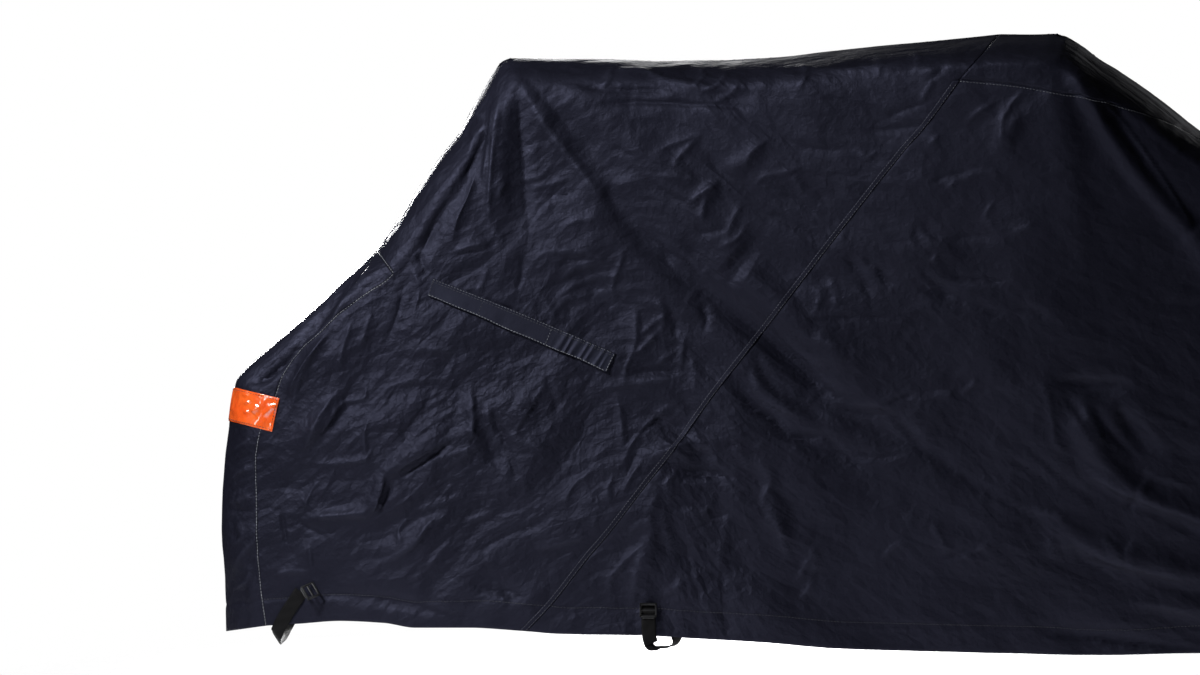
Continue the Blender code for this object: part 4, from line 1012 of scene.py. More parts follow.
@dataclass(frozen=True)
class Relief:
    """All that stands out of the smooth folds: crumples, crisp creases, seams and the hem."""

    crumples: tuple[Crumple, ...] = (
        Crumple(92.0, 7.5, 11),
        Crumple(41.0, 1.8, 23),
        Crumple(18.0, 0.55, 37),
    )
    stretch: float = 1.9        # how much longer the facets are along the grain
    rear_grain: Place = (0.82, 0.0, 0.57)
    front_grain: Place = (0.86, 0.0, -0.51)
    grain_turn: Pair = (120.0, 420.0)    # where along u the one becomes the other
    warp: float = 9.0           # how far the crumples' lines wander
    warp_cell: float = 70.0
    ridge_share: float = 0.35   # share of the crumples' height that is left on the top edge
    ridge_reach: float = 60.0   # how far below it they, and the creases, have their full height
    creased_reach: float = 26.0
    seam_calm: float = 0.55     # how much of both is taken away at a seam, and how far from it
    calm_reach: float = 9.0
    flat_share: float = 0.12    # share of the relief that is left under sewn-on pieces
    hem_reach: float = 90.0     # how far above its edge the hem is looked at
    hem_depth: float = 38.0
    hem_step: float = 0.5
    hem_groove: float = 0.9
    groove_width: float = 2.6
    hem_wave: float = 0.8       # height, length and reach of the puckers along its stitches
    wave_length: float = 17.0
    wave_reach: float = 11.0
    scatters: dict[Side, Scatter] = field(default_factory=lambda: {
        Side.RIGHT: Scatter(34, (1040, -840), (2080, -380), 4),
        Side.LEFT: Scatter(70, (-380, -830), (2080, -90), 9),
    })
    seams: tuple[Seam, ...] = field(default_factory=lambda: (
        Seam(drawn_line(DIAGONAL_SEAM), 101),
        Seam(drawn_line(TOP_SEAM), 103),
        Seam(drawn_line(TAIL_SLOPE_SEAM, TAIL_DROP_SEAM), 105, sink=0.15),
        Seam(drawn_line(NOSE_SEAM), 107),
        Seam(drawn_line([TAIL_SLOPE_EDGE[0], TAIL_SLOPE_SEAM[0]]), 109, sink=0.1),
    ))

    def grained(self, places: Array, u: Array) -> Array:
        """Places that wander and are shortened along the cloth's grain, for crumples.

        Args:
            places: Places in the cover's frame.
            u: Places forward.

        Returns:
            The changed places.
        """
        wander = np.stack([soft_noise(places / self.warp_cell, salt) for salt in (3, 5, 7)], axis=-1)
        points = places + self.warp * wander
        turn = ease((u - self.grain_turn[0]) / (self.grain_turn[1] - self.grain_turn[0]))
        changed = points.copy()
        for grain, weight in ((self.rear_grain, 1 - turn), (self.front_grain, turn)):
            direction = unit(np.array(grain))
            shorten = (points @ direction) * (1 - 1 / self.stretch) * weight
            changed -= shorten[:, None] * direction
        return changed

    @staticmethod
    def strength(u: Array, w: Array) -> Array:
        """How strongly the cloth is crumpled.

        Args:
            u: Places forward.
            w: Places upward.

        Returns:
            About 1 where it is crumpled most.
        """
        near = [np.exp(-((u - u0) ** 2 + (w - w0) ** 2) / reach**2) + 1e-4
                for u0, w0, reach, _ in CRUMPLED]
        return sum(row[3] * share for row, share in zip(CRUMPLED, near)) / sum(near)

    def crumpled(self, places: Array, u: Array, w: Array) -> Array:
        """Heights of the crumples.

        Args:
            places: Places in the cover's frame.
            u: Places forward.
            w: Places upward.

        Returns:
            Height at each place.
        """
        points = self.grained(places, u)
        total = sum(crumple.height * facets(points / crumple.cell, crumple.salt)
                    for crumple in self.crumples)
        return total * self.strength(u, w)

    def creased(self, u: Array, w: Array, side: Side) -> Array:
        """Heights of the crisp creases.

        Args:
            u: Places forward.
            w: Places upward.
            side: Which side of the cover.

        Returns:
            Height at each place.
        """
        creases = self.scatters[side].creases()
        if side is Side.RIGHT:
            creases = [*CREASES, *creases]
        return sum(crease_height(u, w, crease) for crease in creases)

    def heights(self, places: Array, drawn: Array, side: Side) -> Array:
        """Heights of everything together.

        Args:
            places: Places in the cover's frame, n x 3.
            drawn: The same places in the side drawing, n x 2.
            side: Which side of the cover they are on.

        Returns:
            How far each place moves out along the cloth's normal.
        """
        u, w = drawn[:, 0], drawn[:, 1]
        depth = nearest_on(OUTLINE, u, w, self.ridge_reach)[0]
        total = self.crumpled(places, u, w) * (
            self.ridge_share + (1 - self.ridge_share) * ease(depth / self.ridge_reach)
        )
        total += self.creased(u, w, side) * ease(depth / self.creased_reach)
        sewn = np.zeros(len(u))
        for seam in self.seams:
            dip, distance = seam.heights(u, w)
            total *= 1 - self.seam_calm * np.exp(-distance / self.calm_reach)
            sewn += dip
        for reach, *flat in HELD_FLAT:
            distance = nearest_on(np.reshape(np.array(flat, float), (-1, 2)), u, w, 2 * reach)[0]
            held = (1 - self.flat_share) * np.exp(-((distance / reach) ** 6))
            total, sewn = total * (1 - held), sewn * (1 - held)
        above, run = nearest_on(HEM_LINE, u, w, self.hem_reach)
        steps = np.stack([run / self.wave_length, above / 80, np.zeros(len(run))], axis=-1)
        over = above - self.hem_depth
        hem = self.hem_step * (1 - ease((over + 2) / 4))
        hem += (
            self.hem_wave * soft_noise(steps, 211) * np.exp(-np.abs(over) / self.wave_reach)
            - self.hem_groove * np.exp(-((over / self.groove_width) ** 2))
        )
        return total + sewn + hem


RELIEF = Relief()


def raised(drawn: Array, side: Side, lift: Array | float) -> Array:
    """Places on or over the finished cloth, for a piece that is sewn onto it.

    Args:
        drawn: A grid of places (u, w) in the side drawing.
        side: Which side of the cover.
        lift: How far off the cloth's outer face.

    Returns:
        A grid of places in the cover's frame.
    """
    base = folded(drawn, side)
    heights = RELIEF.heights(base.reshape(-1, 3), drawn.reshape(-1, 2), side)
    normal = grid_normals(base)
    normal = normal * np.sign(np.sum(normal * (0, side.value, 0), axis=-1, keepdims=True) + 1e-9)
    return base + normal * (heights.reshape(base.shape[:2]) + lift)[..., None]


# ---------------------------------------------------------------- meshes


def grid_normals(places: Array) -> Array:
    """Normals of a grid, towards its columns x its rows."""
    return unit(np.cross(np.gradient(places, axis=1), np.gradient(places, axis=0)))


def quads_of(grid: Array) -> Array:
    """The faces of a grid of vertex numbers."""
    corners = (grid[:-1, :-1], grid[:-1, 1:], grid[1:, 1:], grid[1:, :-1])
    return np.stack([corner.ravel() for corner in corners], axis=-1)


def mesh_normals(places: Array, quads: Array) -> Array:
    """Normals at the vertices of a mesh of quads.

    Args:
        places: Vertices, n x 3.
        quads: Vertex numbers of the faces.

    Returns:
        A unit vector for each vertex.
    """
    a, b, c, d = (places[quads[:, k]] for k in range(4))
    face = np.repeat(np.cross(c - a, d - b), 4, axis=0)
    total = [np.bincount(quads.ravel(), face[:, k], len(places)) for k in range(3)]
    return unit(np.stack(total, axis=-1) + 1e-12)


def weld(grids: list[Array]) -> tuple[Array, list[Array]]:
    """Give the places that several grids share one vertex number.

    Args:
        grids: Grids of places, rows x columns x 3.

    Returns:
        The different places, and for each grid its vertex numbers.
    """
    flat = np.concatenate([grid.reshape(-1, 3) for grid in grids])
    _, first, number = np.unique(np.round(flat, 3), axis=0, return_index=True, return_inverse=True)
    number = number.ravel()
    ends = np.cumsum([grid.shape[0] * grid.shape[1] for grid in grids])[:-1]
    numbers = [part.reshape(grid.shape[:2]) for part, grid in zip(np.split(number, ends), grids)]
    return flat[first], numbers


def edge_keys(edges: Array, count: int) -> Array:
    """One number for each edge, whichever way it runs."""
    return edges.min(axis=1).astype(np.int64) * count + edges.max(axis=1)


def shell(places: Array, grids: list[Array], thickness: float) -> tuple[Array, Array, Array, Array]:
    """Close welded grids into a thin sheet.

    The inner face has every second row and column, so grids have odd numbers of both.

    Args:
        places: Outer vertices, n x 3.
        grids: Vertex numbers of each grid.
        thickness: Thickness of the sheet.

    Returns:
        All vertices, the quads, the triangles, and the outer vertex that each inner one copies.
    """
    outer = np.concatenate([quads_of(grid) for grid in grids])
    normals = mesh_normals(places, outer)
    copied = np.unique(np.concatenate([grid[::2, ::2].ravel() for grid in grids]))
    inner_of = np.full(len(places), -1)
    inner_of[copied] = len(places) + np.arange(len(copied))
    inner = np.concatenate([quads_of(inner_of[grid[::2, ::2]])[:, ::-1] for grid in grids])
    edges = np.concatenate([outer[:, [k, (k + 1) % 4]] for k in range(4)])
    keys, uses = np.unique(edge_keys(edges, len(places)), return_counts=True)
    open_keys = keys[uses == 1]
    rims = []
    for grid in grids:
        for side in (grid[0], grid[:, -1], grid[-1, ::-1], grid[::-1, 0]):
            first, middle, last = side[:-2:2], side[1:-1:2], side[2::2]
            is_open = np.isin(edge_keys(np.stack([first, middle], axis=-1), len(places)), open_keys)
            a, m, b = first[is_open], middle[is_open], last[is_open]
            rims += [(m, a, inner_of[a]), (m, inner_of[a], inner_of[b]), (b, m, inner_of[b])]
    triangles = np.concatenate([np.stack(rim, axis=-1) for rim in rims])
    moved = places[copied] - normals[copied] * thickness
    return np.concatenate([places, moved]), np.concatenate([outer, inner]), triangles, copied


def new_piece(
    name: str, places: Array, faces: list, slot: Slot, uv: Array | None = None,
    layers: dict[str, Array] | None = None, finish: Finish | None = None,
) -> bpy.types.Object:
    """Make an object that moves with the cover.

    Args:
        name: The object's name.
        places: Vertices in millimetres, n x 3.
        faces: Lists of vertex numbers.
        slot: The finish that it takes.
        uv: Places in the cloth for each vertex, in metres.
        layers: Named numbers or vectors for each vertex, which the finish reads.
        finish: Its finish, where that isn't the slot's own.

    Returns:
        The object, at the origin.
    """
    mesh = bpy.data.meshes.new(name)
    mesh.from_pydata((places * MM).tolist(), [], faces)
    if uv is not None:
        corner = np.empty(len(mesh.loops), np.int32)
        mesh.loops.foreach_get("vertex_index", corner)
        mesh.uv_layers.new(name="UVMap").data.foreach_set("uv", uv[corner].astype(np.float32).ravel())
    for layer, values in (layers or {}).items():
        kind, field_name = ("FLOAT", "value") if values.ndim == 1 else ("FLOAT_VECTOR", "vector")
        made = mesh.attributes.new(layer, kind, "POINT")
        made.data.foreach_set(field_name, values.astype(np.float32).ravel())
    mesh.shade_smooth()
    mesh.materials.append(material_of(finish or FINISHES[slot]))
    piece = bpy.data.objects.new(name, mesh)
    bpy.context.scene.collection.objects.link(piece)
    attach(piece, BODY)
    log.info("%s: %d vertices, %d faces", name, len(places), len(faces))
    return piece


@dataclass
class Surface:
    """A finished grid of a cloth, which can be read between its places."""

    places: Array
    normals: Array

    def at(self, row: Array, column: Array) -> tuple[Array, Array]:
        """Read the grid.

        Args:
            row: Row of each place, with its fraction.
            column: Column of each place, with its fraction.

        Returns:
            The places and the unit normals there.
        """
        r = np.clip(np.floor(row).astype(int), 0, self.places.shape[0] - 2)
        c = np.clip(np.floor(column).astype(int), 0, self.places.shape[1] - 2)
        p, q = (row - r)[..., None], (column - c)[..., None]
        read = [
            (1 - p) * (1 - q) * value[r, c] + (1 - p) * q * value[r, c + 1]
            + p * (1 - q) * value[r + 1, c] + p * q * value[r + 1, c + 1]
            for value in (self.places, self.normals)
        ]
        return read[0], unit(read[1])

    def beside(
        self, edge: str, distance: float, start: float = 0.0, stop: float = 1.0,
    ) -> tuple[Array, Array]:
        """A line at a distance from one of the grid's edges.

        Args:
            edge: "top", "bottom", "left" or "right": the first or last row or column.
            distance: How far inside the edge; a negative distance is outside.
            start: Share of the edge where the line starts.
            stop: Share of the edge where it stops.

        Returns:
            The row and the column of each place along the line.
        """
        turned = self.places if edge in ("left", "right") else self.places.transpose(1, 0, 2)
        if edge in ("right", "bottom"):
            turned = turned[:, ::-1]
        strip = turned[:, :BESIDE_COLUMNS]
        steps = np.diff(strip, axis=1)
        run = unit(np.gradient(strip[:, 0], axis=0))[:, None]
        square = np.linalg.norm(square_to(steps, run), axis=-1)
        reached = np.concatenate([np.zeros((len(strip), 1)), np.cumsum(square, axis=1)], axis=1)
        before = np.clip(np.sum(reached <= distance, axis=1) - 1, 0, strip.shape[1] - 2)
        line = np.arange(len(strip))
        inward = before + (distance - reached[line, before]) / square[line, before]
        inward = np.maximum(inward, -1.0)
        count = 4 * len(strip)
        place = np.linspace(start, stop, count) * (len(strip) - 1)
        inward = np.interp(place, line, inward)
        if edge in ("right", "bottom"):
            inward = turned.shape[1] - 1 - inward
        return (place, inward) if edge in ("left", "right") else (inward, place)


def pulled(edge: Array, inner: Array) -> Array:
    """An edge moved towards the line beside it, square to itself, by half the gap of a seam.

    Args:
        edge: Places along the edge.
        inner: Places along the next line of the grid.

    Returns:
        The edge's new places.
    """
    run = unit(np.gradient(edge, axis=0))
    return edge + unit(square_to(inner - edge, run)) * SEAM_GAP / 2


def draw_back(places: Array, sewn: str = "top bottom left right") -> Array:
    """Draw sewn edges back from their seams by half the gap.

    Args:
        places: A grid of places.
        sewn: Which edges are sewn: "top" is the first row and "left" the first column.

    Returns:
        The grid with its sewn edges moved square to themselves.
    """
    moved = places.copy()
    turned = moved.swapaxes(0, 1)
    views = {"top": moved, "bottom": moved[::-1], "left": turned, "right": turned[::-1]}
    for edge, view in views.items():
        if edge in sewn:
            view[0] = pulled(view[0], view[1])
    return moved


def coons(top: Array, bottom: Array, left: Array, right: Array, across: Array, down: Array) -> Array:
    """Fill a four-sided piece of the drawing from its edges.

    Args:
        top: A place for each share in `across`.
        bottom: The same for the bottom edge.
        left: A place for each share in `down`.
        right: The same for the right-hand edge.
        across: Shares of the way across.
        down: Shares of the way down.

    Returns:
        A grid of places, rows x columns x 2.
    """
    p = across[None, :, None]
    q = down[:, None, None]
    ruled = (1 - q) * top[None] + q * bottom[None] + (1 - p) * left[:, None] + p * right[:, None]
    corners = (
        (1 - p) * (1 - q) * top[0] + p * (1 - q) * top[-1]
        + (1 - p) * q * bottom[0] + p * q * bottom[-1]
    )
    return ruled - corners


def cap_shares(count: int) -> Array:
    """Shares of the way from the top edge to a cap's foot, close together at the top."""
    return 1 - np.cos(np.linspace(0, math.pi / 2, count + 1))


def side_shares(count: int) -> Array:
    """Shares of the way down a side, a little closer together near the top."""
    return np.linspace(0, 1, count + 1) ** 1.12


# ---------------------------------------------------------------- the cloths


@dataclass
class Panel:
    """A grid of one side of a cloth: its smooth places and where they are in the drawing."""

    places: Array
    drawn: Array
    side: Side


@dataclass
class Cloth:
    """A cloth of one or more panels that share edges."""

    node: str
    flat: Pair      # in metres, laid flat
    area: float
    rests_on: Names

    def __post_init__(self) -> None:
        """Work out the finished surface and make the mesh."""
        panels = self.panels()
        places, numbers = weld([panel.places for panel in panels])
        quads = np.concatenate([quads_of(grid) for grid in numbers])
        normals = mesh_normals(places, quads)
        heights = np.zeros(len(places))
        drawn = np.zeros((len(places), 2))
        for panel, grid in zip(panels, numbers):
            flat = grid.ravel()
            drawn[flat] = panel.drawn.reshape(-1, 2)
            heights[flat] = RELIEF.heights(places[flat], drawn[flat], panel.side)
        grained = RELIEF.grained(places, drawn[:, 0]) * MM
        crumpled = RELIEF.strength(drawn[:, 0], drawn[:, 1])
        places = places + normals * heights[:, None]
        normals = mesh_normals(places, quads)
        self.surfaces = [Surface(places[grid], normals[grid]) for grid in numbers]
        # mask of the painted highlight: sharp crests get a lighter colour in place of the sheen they catch
        painted_highlight_mask = self.painted_highlight_mask(heights, numbers)
        uv = np.stack([drawn[:, 0], drawn[:, 1] - np.abs(places[:, 1])], axis=-1) * MM
        whole, all_quads, triangles, copied = shell(places, numbers, CLOTH_THICKNESS)
        layers = {"painted_highlight_mask": painted_highlight_mask, "grained": grained, "crumpled": crumpled}
        self.piece = new_piece(
            f"{self.node}_cloth", whole, all_quads.tolist() + triangles.tolist(), Slot.CLOTH,
            np.concatenate([uv, uv[copied]]),
            {name: np.concatenate([layer, layer[copied]]) for name, layer in layers.items()},
        )
        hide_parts(self.node)

    def panels(self) -> list[Panel]:
        """The cloth's panels, facing outwards."""
        raise NotImplementedError

    def declare(self, *with_pieces: bpy.types.Object) -> None:
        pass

    @staticmethod
    def painted_highlight_mask(heights: Array, numbers: list[Array]) -> Array:
        """How far each vertex stands out of those around it, on sharp crests: the mask of the painted
        highlight.

        Args:
            heights: Relief at each vertex.
            numbers: Vertex numbers of each grid.

        Returns:
            0 in hollows and on flats, up to 1 on the sharpest crests.
        """
        painted_highlight_mask = np.zeros(len(heights))
        for grid in numbers:
            level = heights[grid]
            around = level.copy()
            around[2:-2, 2:-2] = (
                level[:-4, 2:-2] + level[4:, 2:-2] + level[2:-2, :-4] + level[2:-2, 4:]
            ) / 4
            painted_highlight_mask[grid] = np.clip((level - around) / PAINTED_HIGHLIGHT_HEIGHT, 0, 1)
        return painted_highlight_mask


@dataclass
class RearCloth(Cloth):
    """The rear cloth, which goes over both sides."""

    node: str = "body_rear"
    flat: Pair = (1.23, 1.86)
    area: float = 1.22
    rests_on: Names = ("front_top_cloth", "tail_gusset_cloth")
    slope_columns: int = 64
    crest_columns: int = 240
    rows: tuple[int, int] = (190, 36)       # on the right-hand and the left-hand side
    cap_rows: tuple[int, int] = (24, 10)
    coarse: tuple[int, int, int] = (38, 20, 8)      # columns, rows and corner of a coarse grid
    rounds: int = 10        # times that it is evened out

    def corner_shift(self, across: Array, down: Array) -> Array:
        """How far the grid moves to even it out at the tail corner.

        Args:
            across: Shares of the way across.
            down: Shares of the way down.

        Returns:
            A move (u, w) for each place of the grid.
        """
        columns, rows, corner = self.coarse
        wide, deep = np.linspace(0, 1, columns + 1), np.linspace(0, 1, rows + 1) ** 1.4
        start = self.side_drawing(wide, deep, corner)
        drawn = start.copy()
        half = rows // 2
        for _ in range(self.rounds):
            beside = drawn[1:half, : corner - 1] + drawn[1:half, 2 : corner + 1]
            stacked = drawn[: half - 1, 1:corner] + drawn[2 : half + 1, 1:corner]
            drawn[1:half, 1:corner] = (beside + stacked) / 4
        shift = drawn - start
        by_row = np.stack([
            np.stack([np.interp(down, deep, shift[:, c, k]) for c in range(columns + 1)], axis=1)
            for k in range(2)
        ], axis=-1)
        return np.stack([
            np.stack([np.interp(across, wide, row) for row in by_row[..., k]]) for k in range(2)
        ], axis=-1)

    @staticmethod
    def side_drawing(across: Array, down: Array, corner: int) -> Array:
        """Fill the side's drawing from its seams and its hem.

        Args:
            across: Shares of the way across.
            down: Shares of the way down.
            corner: Column where the tail strip's seam meets the turned top edge.

        Returns:
            A grid of places (u, w).
        """
        slope = along(TAIL_SLOPE_SEAM[::-1], np.linspace(0, 1, corner + 1))
        crest = along(CAP_FOOT, np.linspace(0, 1, len(across) - corner))
        return coons(
            np.concatenate([slope, crest[1:]]), along(REAR_HEM, across),
            along(TAIL_DROP_SEAM, down), along(DIAGONAL_SEAM, down), across, down,
        )

    def panels(self) -> list[Panel]:
        """Both sides and the two halves of the turned top edge.

        Returns:
            The panels, from the right-hand hem over the top to the left-hand hem.
        """
        corner = self.slope_columns
        across = np.linspace(0, 1, corner + self.crest_columns + 1)
        crest = np.linspace(0, 1, self.crest_columns + 1)
        sides, caps = {}, {}
        for side, rows, cap_rows in zip(Side, self.rows, self.cap_rows):
            down = side_shares(rows)
            drawn = self.side_drawing(across, down, corner) + self.corner_shift(across, down)
            cap = cap_shares(cap_rows)[:, None, None]
            cap_drawn = along(REAR_EDGE, crest)[None] * (1 - cap) + along(CAP_FOOT, crest)[None] * cap
            places = draw_back(folded(drawn, side), "left right")
            cap_places = folded(cap_drawn, side)
            cap_places[0] *= (1, 0, 1)
            cap_places = draw_back(cap_places, "left right")
            sloped = draw_back(places, "top left right")[0, : corner + 1]
            places[0, :corner] = sloped[:-1]
            places[0, corner:] = cap_places[-1]
            sides[side], caps[side] = (places, drawn), (cap_places, cap_drawn)
        caps[Side.LEFT][0][0] = caps[Side.RIGHT][0][0]
        right, left = Side.RIGHT, Side.LEFT
        return [
            Panel(sides[right][0][::-1], sides[right][1][::-1], right),
            Panel(caps[right][0][::-1], caps[right][1][::-1], right),
            Panel(*caps[left], left),
            Panel(*sides[left], left),
        ]


@dataclass
class FrontSide(Cloth):
    """A front cloth, on one side."""

    node: str = "front_side_right"
    flat: Pair = (2.13, 0.86)
    area: float = 1.09
    rests_on: Names = ("front_top_cloth",)
    side: Side = Side.RIGHT
    columns: int = 400
    rows: int = 190
    seen_columns: float = 0.62      # share of the columns in the first stretch
    seen_share: float = 0.45        # how much of the length that stretch is

    def panels(self) -> list[Panel]:
        """The one panel.

        Returns:
            A list with the panel.
        """
        count = np.linspace(0, 1, self.columns + 1)
        across = np.interp(count, (0, self.seen_columns, 1), (0, self.seen_share, 1))
        down = side_shares(self.rows)
        drawn = coons(
            along(TOP_SEAM, across), along(FRONT_HEM, across),
            along(DIAGONAL_SEAM, down), along(NOSE_SEAM, down), across, down,
        )
        places = draw_back(folded(drawn, self.side), "top left right")
        if self.side is Side.RIGHT:
            places, drawn = places[::-1], drawn[::-1]
        return [Panel(places, drawn, self.side)]


@dataclass
class Strip(Cloth):
    """A let-in strip, closed round the top edge: its rows run along it."""

    edges: tuple[list, list]
    seams: tuple[list, list]
    steps: tuple[int, int]
    cap_columns: int
    faces_back: bool

    def panels(self) -> list[Panel]:
        """The right-hand and the left-hand half.

        Returns:
            Both panels, which share the middle column.
        """
        shares = (np.linspace(0, 1, self.steps[0] + 1), side_shares(self.steps[1]))
        edge, seam = (
            np.concatenate([along(slope, shares[0]), along(drop, shares[1])[1:]])
            for slope, drop in (self.edges, self.seams)
        )
        cap = cap_shares(self.cap_columns)[None, :, None]
        drawn = edge[:, None] * (1 - cap) + seam[:, None] * cap
        right, left = folded(drawn, Side.RIGHT), folded(drawn, Side.LEFT)
        whole = np.concatenate([right[:, :0:-1], right[:, :1] * (1, 0, 1), left[:, 1:]], axis=1)
        whole = draw_back(whole, "top left right")
        middle = self.cap_columns
        halves = [
            Panel(whole[:, : middle + 1], drawn[:, ::-1], Side.RIGHT),
            Panel(whole[:, middle:], drawn, Side.LEFT),
        ]
        if self.faces_back:
            return halves
        return [Panel(half.places[:, ::-1], half.drawn[:, ::-1], half.side) for half in halves]


@dataclass
class TailStrip(Strip):
    """The tail strip, from the cross seam down to the hem."""

    node: str = "tail_gusset"
    flat: Pair = (0.20, 0.70)
    area: float = 0.115
    rests_on: Names = ("body_rear_cloth",)
    edges: tuple[list, list] = (TAIL_SLOPE_EDGE, TAIL_DROP_EDGE)
    seams: tuple[list, list] = (TAIL_SLOPE_SEAM, TAIL_DROP_SEAM)
    steps: tuple[int, int] = (90, 120)
    cap_columns: int = 22
    faces_back: bool = True


@dataclass
class TopStrip(Strip):
    """The front strip, from the diagonal seam over the bars and the box, and down the nose."""

    node: str = "front_top"
    flat: Pair = (0.66, 2.0)
    area: float = 0.80
    rests_on: Names = ("body_rear_cloth",)
    edges: tuple[list, list] = (FRONT_EDGE, NOSE_EDGE)
    seams: tuple[list, list] = (TOP_SEAM, NOSE_SEAM)
    steps: tuple[int, int] = (380, 90)
    cap_columns: int = 20
    faces_back: bool = False


# ---------------------------------------------------------------- sewn-on pieces


@dataclass
class SewnOn:
    """A piece of cloth or webbing that is sewn onto the cover."""

    name: str
    node: str
    slot: Slot
    flat: Pair      # in metres
    rests_on: Names
    thickness: float

    def __post_init__(self) -> None:
        """Make the mesh."""
        grid = self.grid()
        places, numbers = weld([grid])
        self.surface = Surface(grid, grid_normals(grid))
        middles = (grid[grid.shape[0] // 2], grid[:, grid.shape[1] // 2])
        lengths = [lengths_along(line) for line in middles]
        uv = np.zeros((len(places), 2))
        uv[numbers[0].ravel()] = np.stack(np.meshgrid(*lengths), axis=-1).reshape(-1, 2) * MM
        whole, quads, triangles, copied = shell(places, numbers, self.thickness)
        self.piece = new_piece(
            self.name, whole, quads.tolist() + triangles.tolist(), self.slot,
            np.concatenate([uv, uv[copied]]),
        )
        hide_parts(self.node)

    def grid(self) -> Array:
        """The piece's outer face."""
        raise NotImplementedError

    def declare(self, *with_pieces: bpy.types.Object) -> None:
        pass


@dataclass
class Flap(SewnOn):
    """The flap: sewn flat along its top edge, a little proud along its bottom edge."""

    name: str = "flap_strip"
    node: str = "flap"
    slot: Slot = Slot.FLAP
    flat: Pair = (0.300, 0.031)
    rests_on: Names = ("body_rear_cloth",)
    thickness: float = 1.6
    columns: int = 260
    rows: int = 20
    off: float = 0.7        # how far its inner face lies off the cloth at the sewn edge
    proud: float = 3.2      # how much further it lies off at the free edge
    gather_start: float = 0.67      # share of its length
    gather_ends: Pair = (0.08, 0.05)        # shares over which the gathers rise and fall
    gathers: int = 8
    gather_height: float = 1.9
    dent_height: float = 0.5
    edge_waves: tuple[Place, ...] = ((0.9, 9, 0), (0.5, 23, 1))     # height, how close, start
    sewn_dip: Place = (0.5, 0.13, 0.05)     # depth, and where down the flap and how wide it is

    def grid(self) -> Array:
        """The flap's outer face.

        Returns:
            Rows from the free edge up to the sewn edge.
        """
        share = np.linspace(0, 1, self.columns + 1)
        down = np.linspace(0, 1, self.rows + 1)[:, None]
        wave = sum(high * np.sin(close * share + start) for high, close, start in self.edge_waves)
        top, bottom = along(FLAP_TOP, share), along(FLAP_BOTTOM, share)
        bottom = bottom + np.stack([np.zeros(len(share)), wave], axis=-1)
        drawn = top[None] * (1 - down[..., None]) + bottom[None] * down[..., None]
        rise, fall = self.gather_ends
        gathered = ease((share - self.gather_start) / rise) * ease((0.99 - share) / fall)
        turns = (share - self.gather_start) / (1 - self.gather_start) * self.gathers
        uneven = turns + 0.16 * np.sin(2.7 * turns) + 0.35 * down
        ripple = self.gather_height * gathered * (0.5 - 0.5 * np.cos(2 * math.pi * uneven)) ** 1.5
        dents = soft_noise(np.stack(np.broadcast_arrays(share * 22, down * 1.6, 0.0), axis=-1)
                           .reshape(-1, 3), 71).reshape(len(down), -1)
        deep, middle, wide = self.sewn_dip
        bow = 0.5 * np.sin(math.pi * down) - deep * np.exp(-((down - middle) / wide) ** 2)
        ripple *= 0.45 + 0.55 * down
        lift = self.off + self.thickness + self.proud * down**2 + ripple
        lift = lift + self.dent_height * dents * down + bow
        return raised(drawn, Side.RIGHT, lift)[::-1]


@dataclass
class ReflectorPatch(SewnOn):
    """The reflective patch, sewn on round the tail edge."""

    name: str = "reflector_film"
    node: str = "reflector_patch"
    slot: Slot = Slot.REFLECTOR
    flat: Pair = (0.19, 0.058)
    rests_on: Names = ("tail_gusset_cloth", "body_rear_cloth")
    thickness: float = 0.8
    rows: int = 60
    cap_columns: int = 44
    side_columns: int = 20
    off: float = 0.5        # how far the film lies off the cloth at its edges
    puffed: float = 0.9     # how much further it lies off inside them
    dent_heights: Pair = (0.9, 0.3)
    ridges: tuple[tuple, ...] = (
        # height, width, then the places (u, w): ridges in the film on the right-hand side
        (1.7, 3.4, -389, -493, -380, -489),
        (1.8, 3.4, -388, -505, -379, -500),
        (1.7, 3.4, -388, -518, -380, -513),
        (3.0, 6.0, -377, -517, -366, -509),
        (2.6, 4.6, -362, -523, -352, -515, -341, -504),
    )

    def grid(self) -> Array:
        """The patch's outer face.

        Returns:
            Rows from its top edge down, columns from the right-hand side to the left.
        """
        down = np.linspace(0, 1, self.rows + 1)
        centre, edge = along(PATCH_CENTRE, down), along(PATCH_NEAR, down)
        seam = drawn_line(TAIL_SLOPE_SEAM[:-1] + TAIL_DROP_SEAM)
        level = (centre[:, 1] + edge[:, 1]) / 2 - PATCH_DROP / 3
        seam_u = np.interp(-level, -seam[:, 1], seam[:, 0])
        to_seam = ((seam_u - centre[:, 0]) / (edge[:, 0] - centre[:, 0]))[:, None]
        beyond = np.linspace(0, 1, self.side_columns + 1)[1:][None]
        cap = cap_shares(self.cap_columns)[None]
        over = np.concatenate([to_seam * cap, to_seam + (1 - to_seam) * beyond], axis=1)[..., None]
        drawn = centre[:, None] * (1 - over) + edge[:, None] * over
        halves = []
        for side in Side:
            base = folded(drawn, side)
            heights = RELIEF.heights(base.reshape(-1, 3), drawn.reshape(-1, 2), side)
            if side is Side.RIGHT:
                heights += sum(crease_height(*drawn.reshape(-1, 2).T, ridge) for ridge in self.ridges)
            halves.append((base, heights.reshape(base.shape[:2])))
        (right, right_rise), (left, left_rise) = halves
        places = np.concatenate([right[:, :0:-1], right[:, :1] * (1, 0, 1), left[:, 1:]], axis=1)
        rise = np.concatenate([right_rise[:, :0:-1], left_rise], axis=1)
        normal = grid_normals(places)
        across = np.linspace(-1, 1, places.shape[1])[None]
        film = np.stack(np.broadcast_arrays(across * 6, down[:, None] * 2.2, 0.0), axis=-1)
        dents = soft_noise(film.reshape(-1, 3), 83).reshape(rise.shape)
        bowed = soft_noise(film.reshape(-1, 3) * 2.3, 87).reshape(rise.shape)
        inside = ease((1 - np.abs(across)) / 0.06) * ease((0.5 - np.abs(down - 0.5))[:, None] / 0.08)
        large, small = self.dent_heights
        lift = self.off + self.thickness + (self.puffed + large * dents + small * bowed) * inside
        return places + normal * (rise + lift)[..., None]


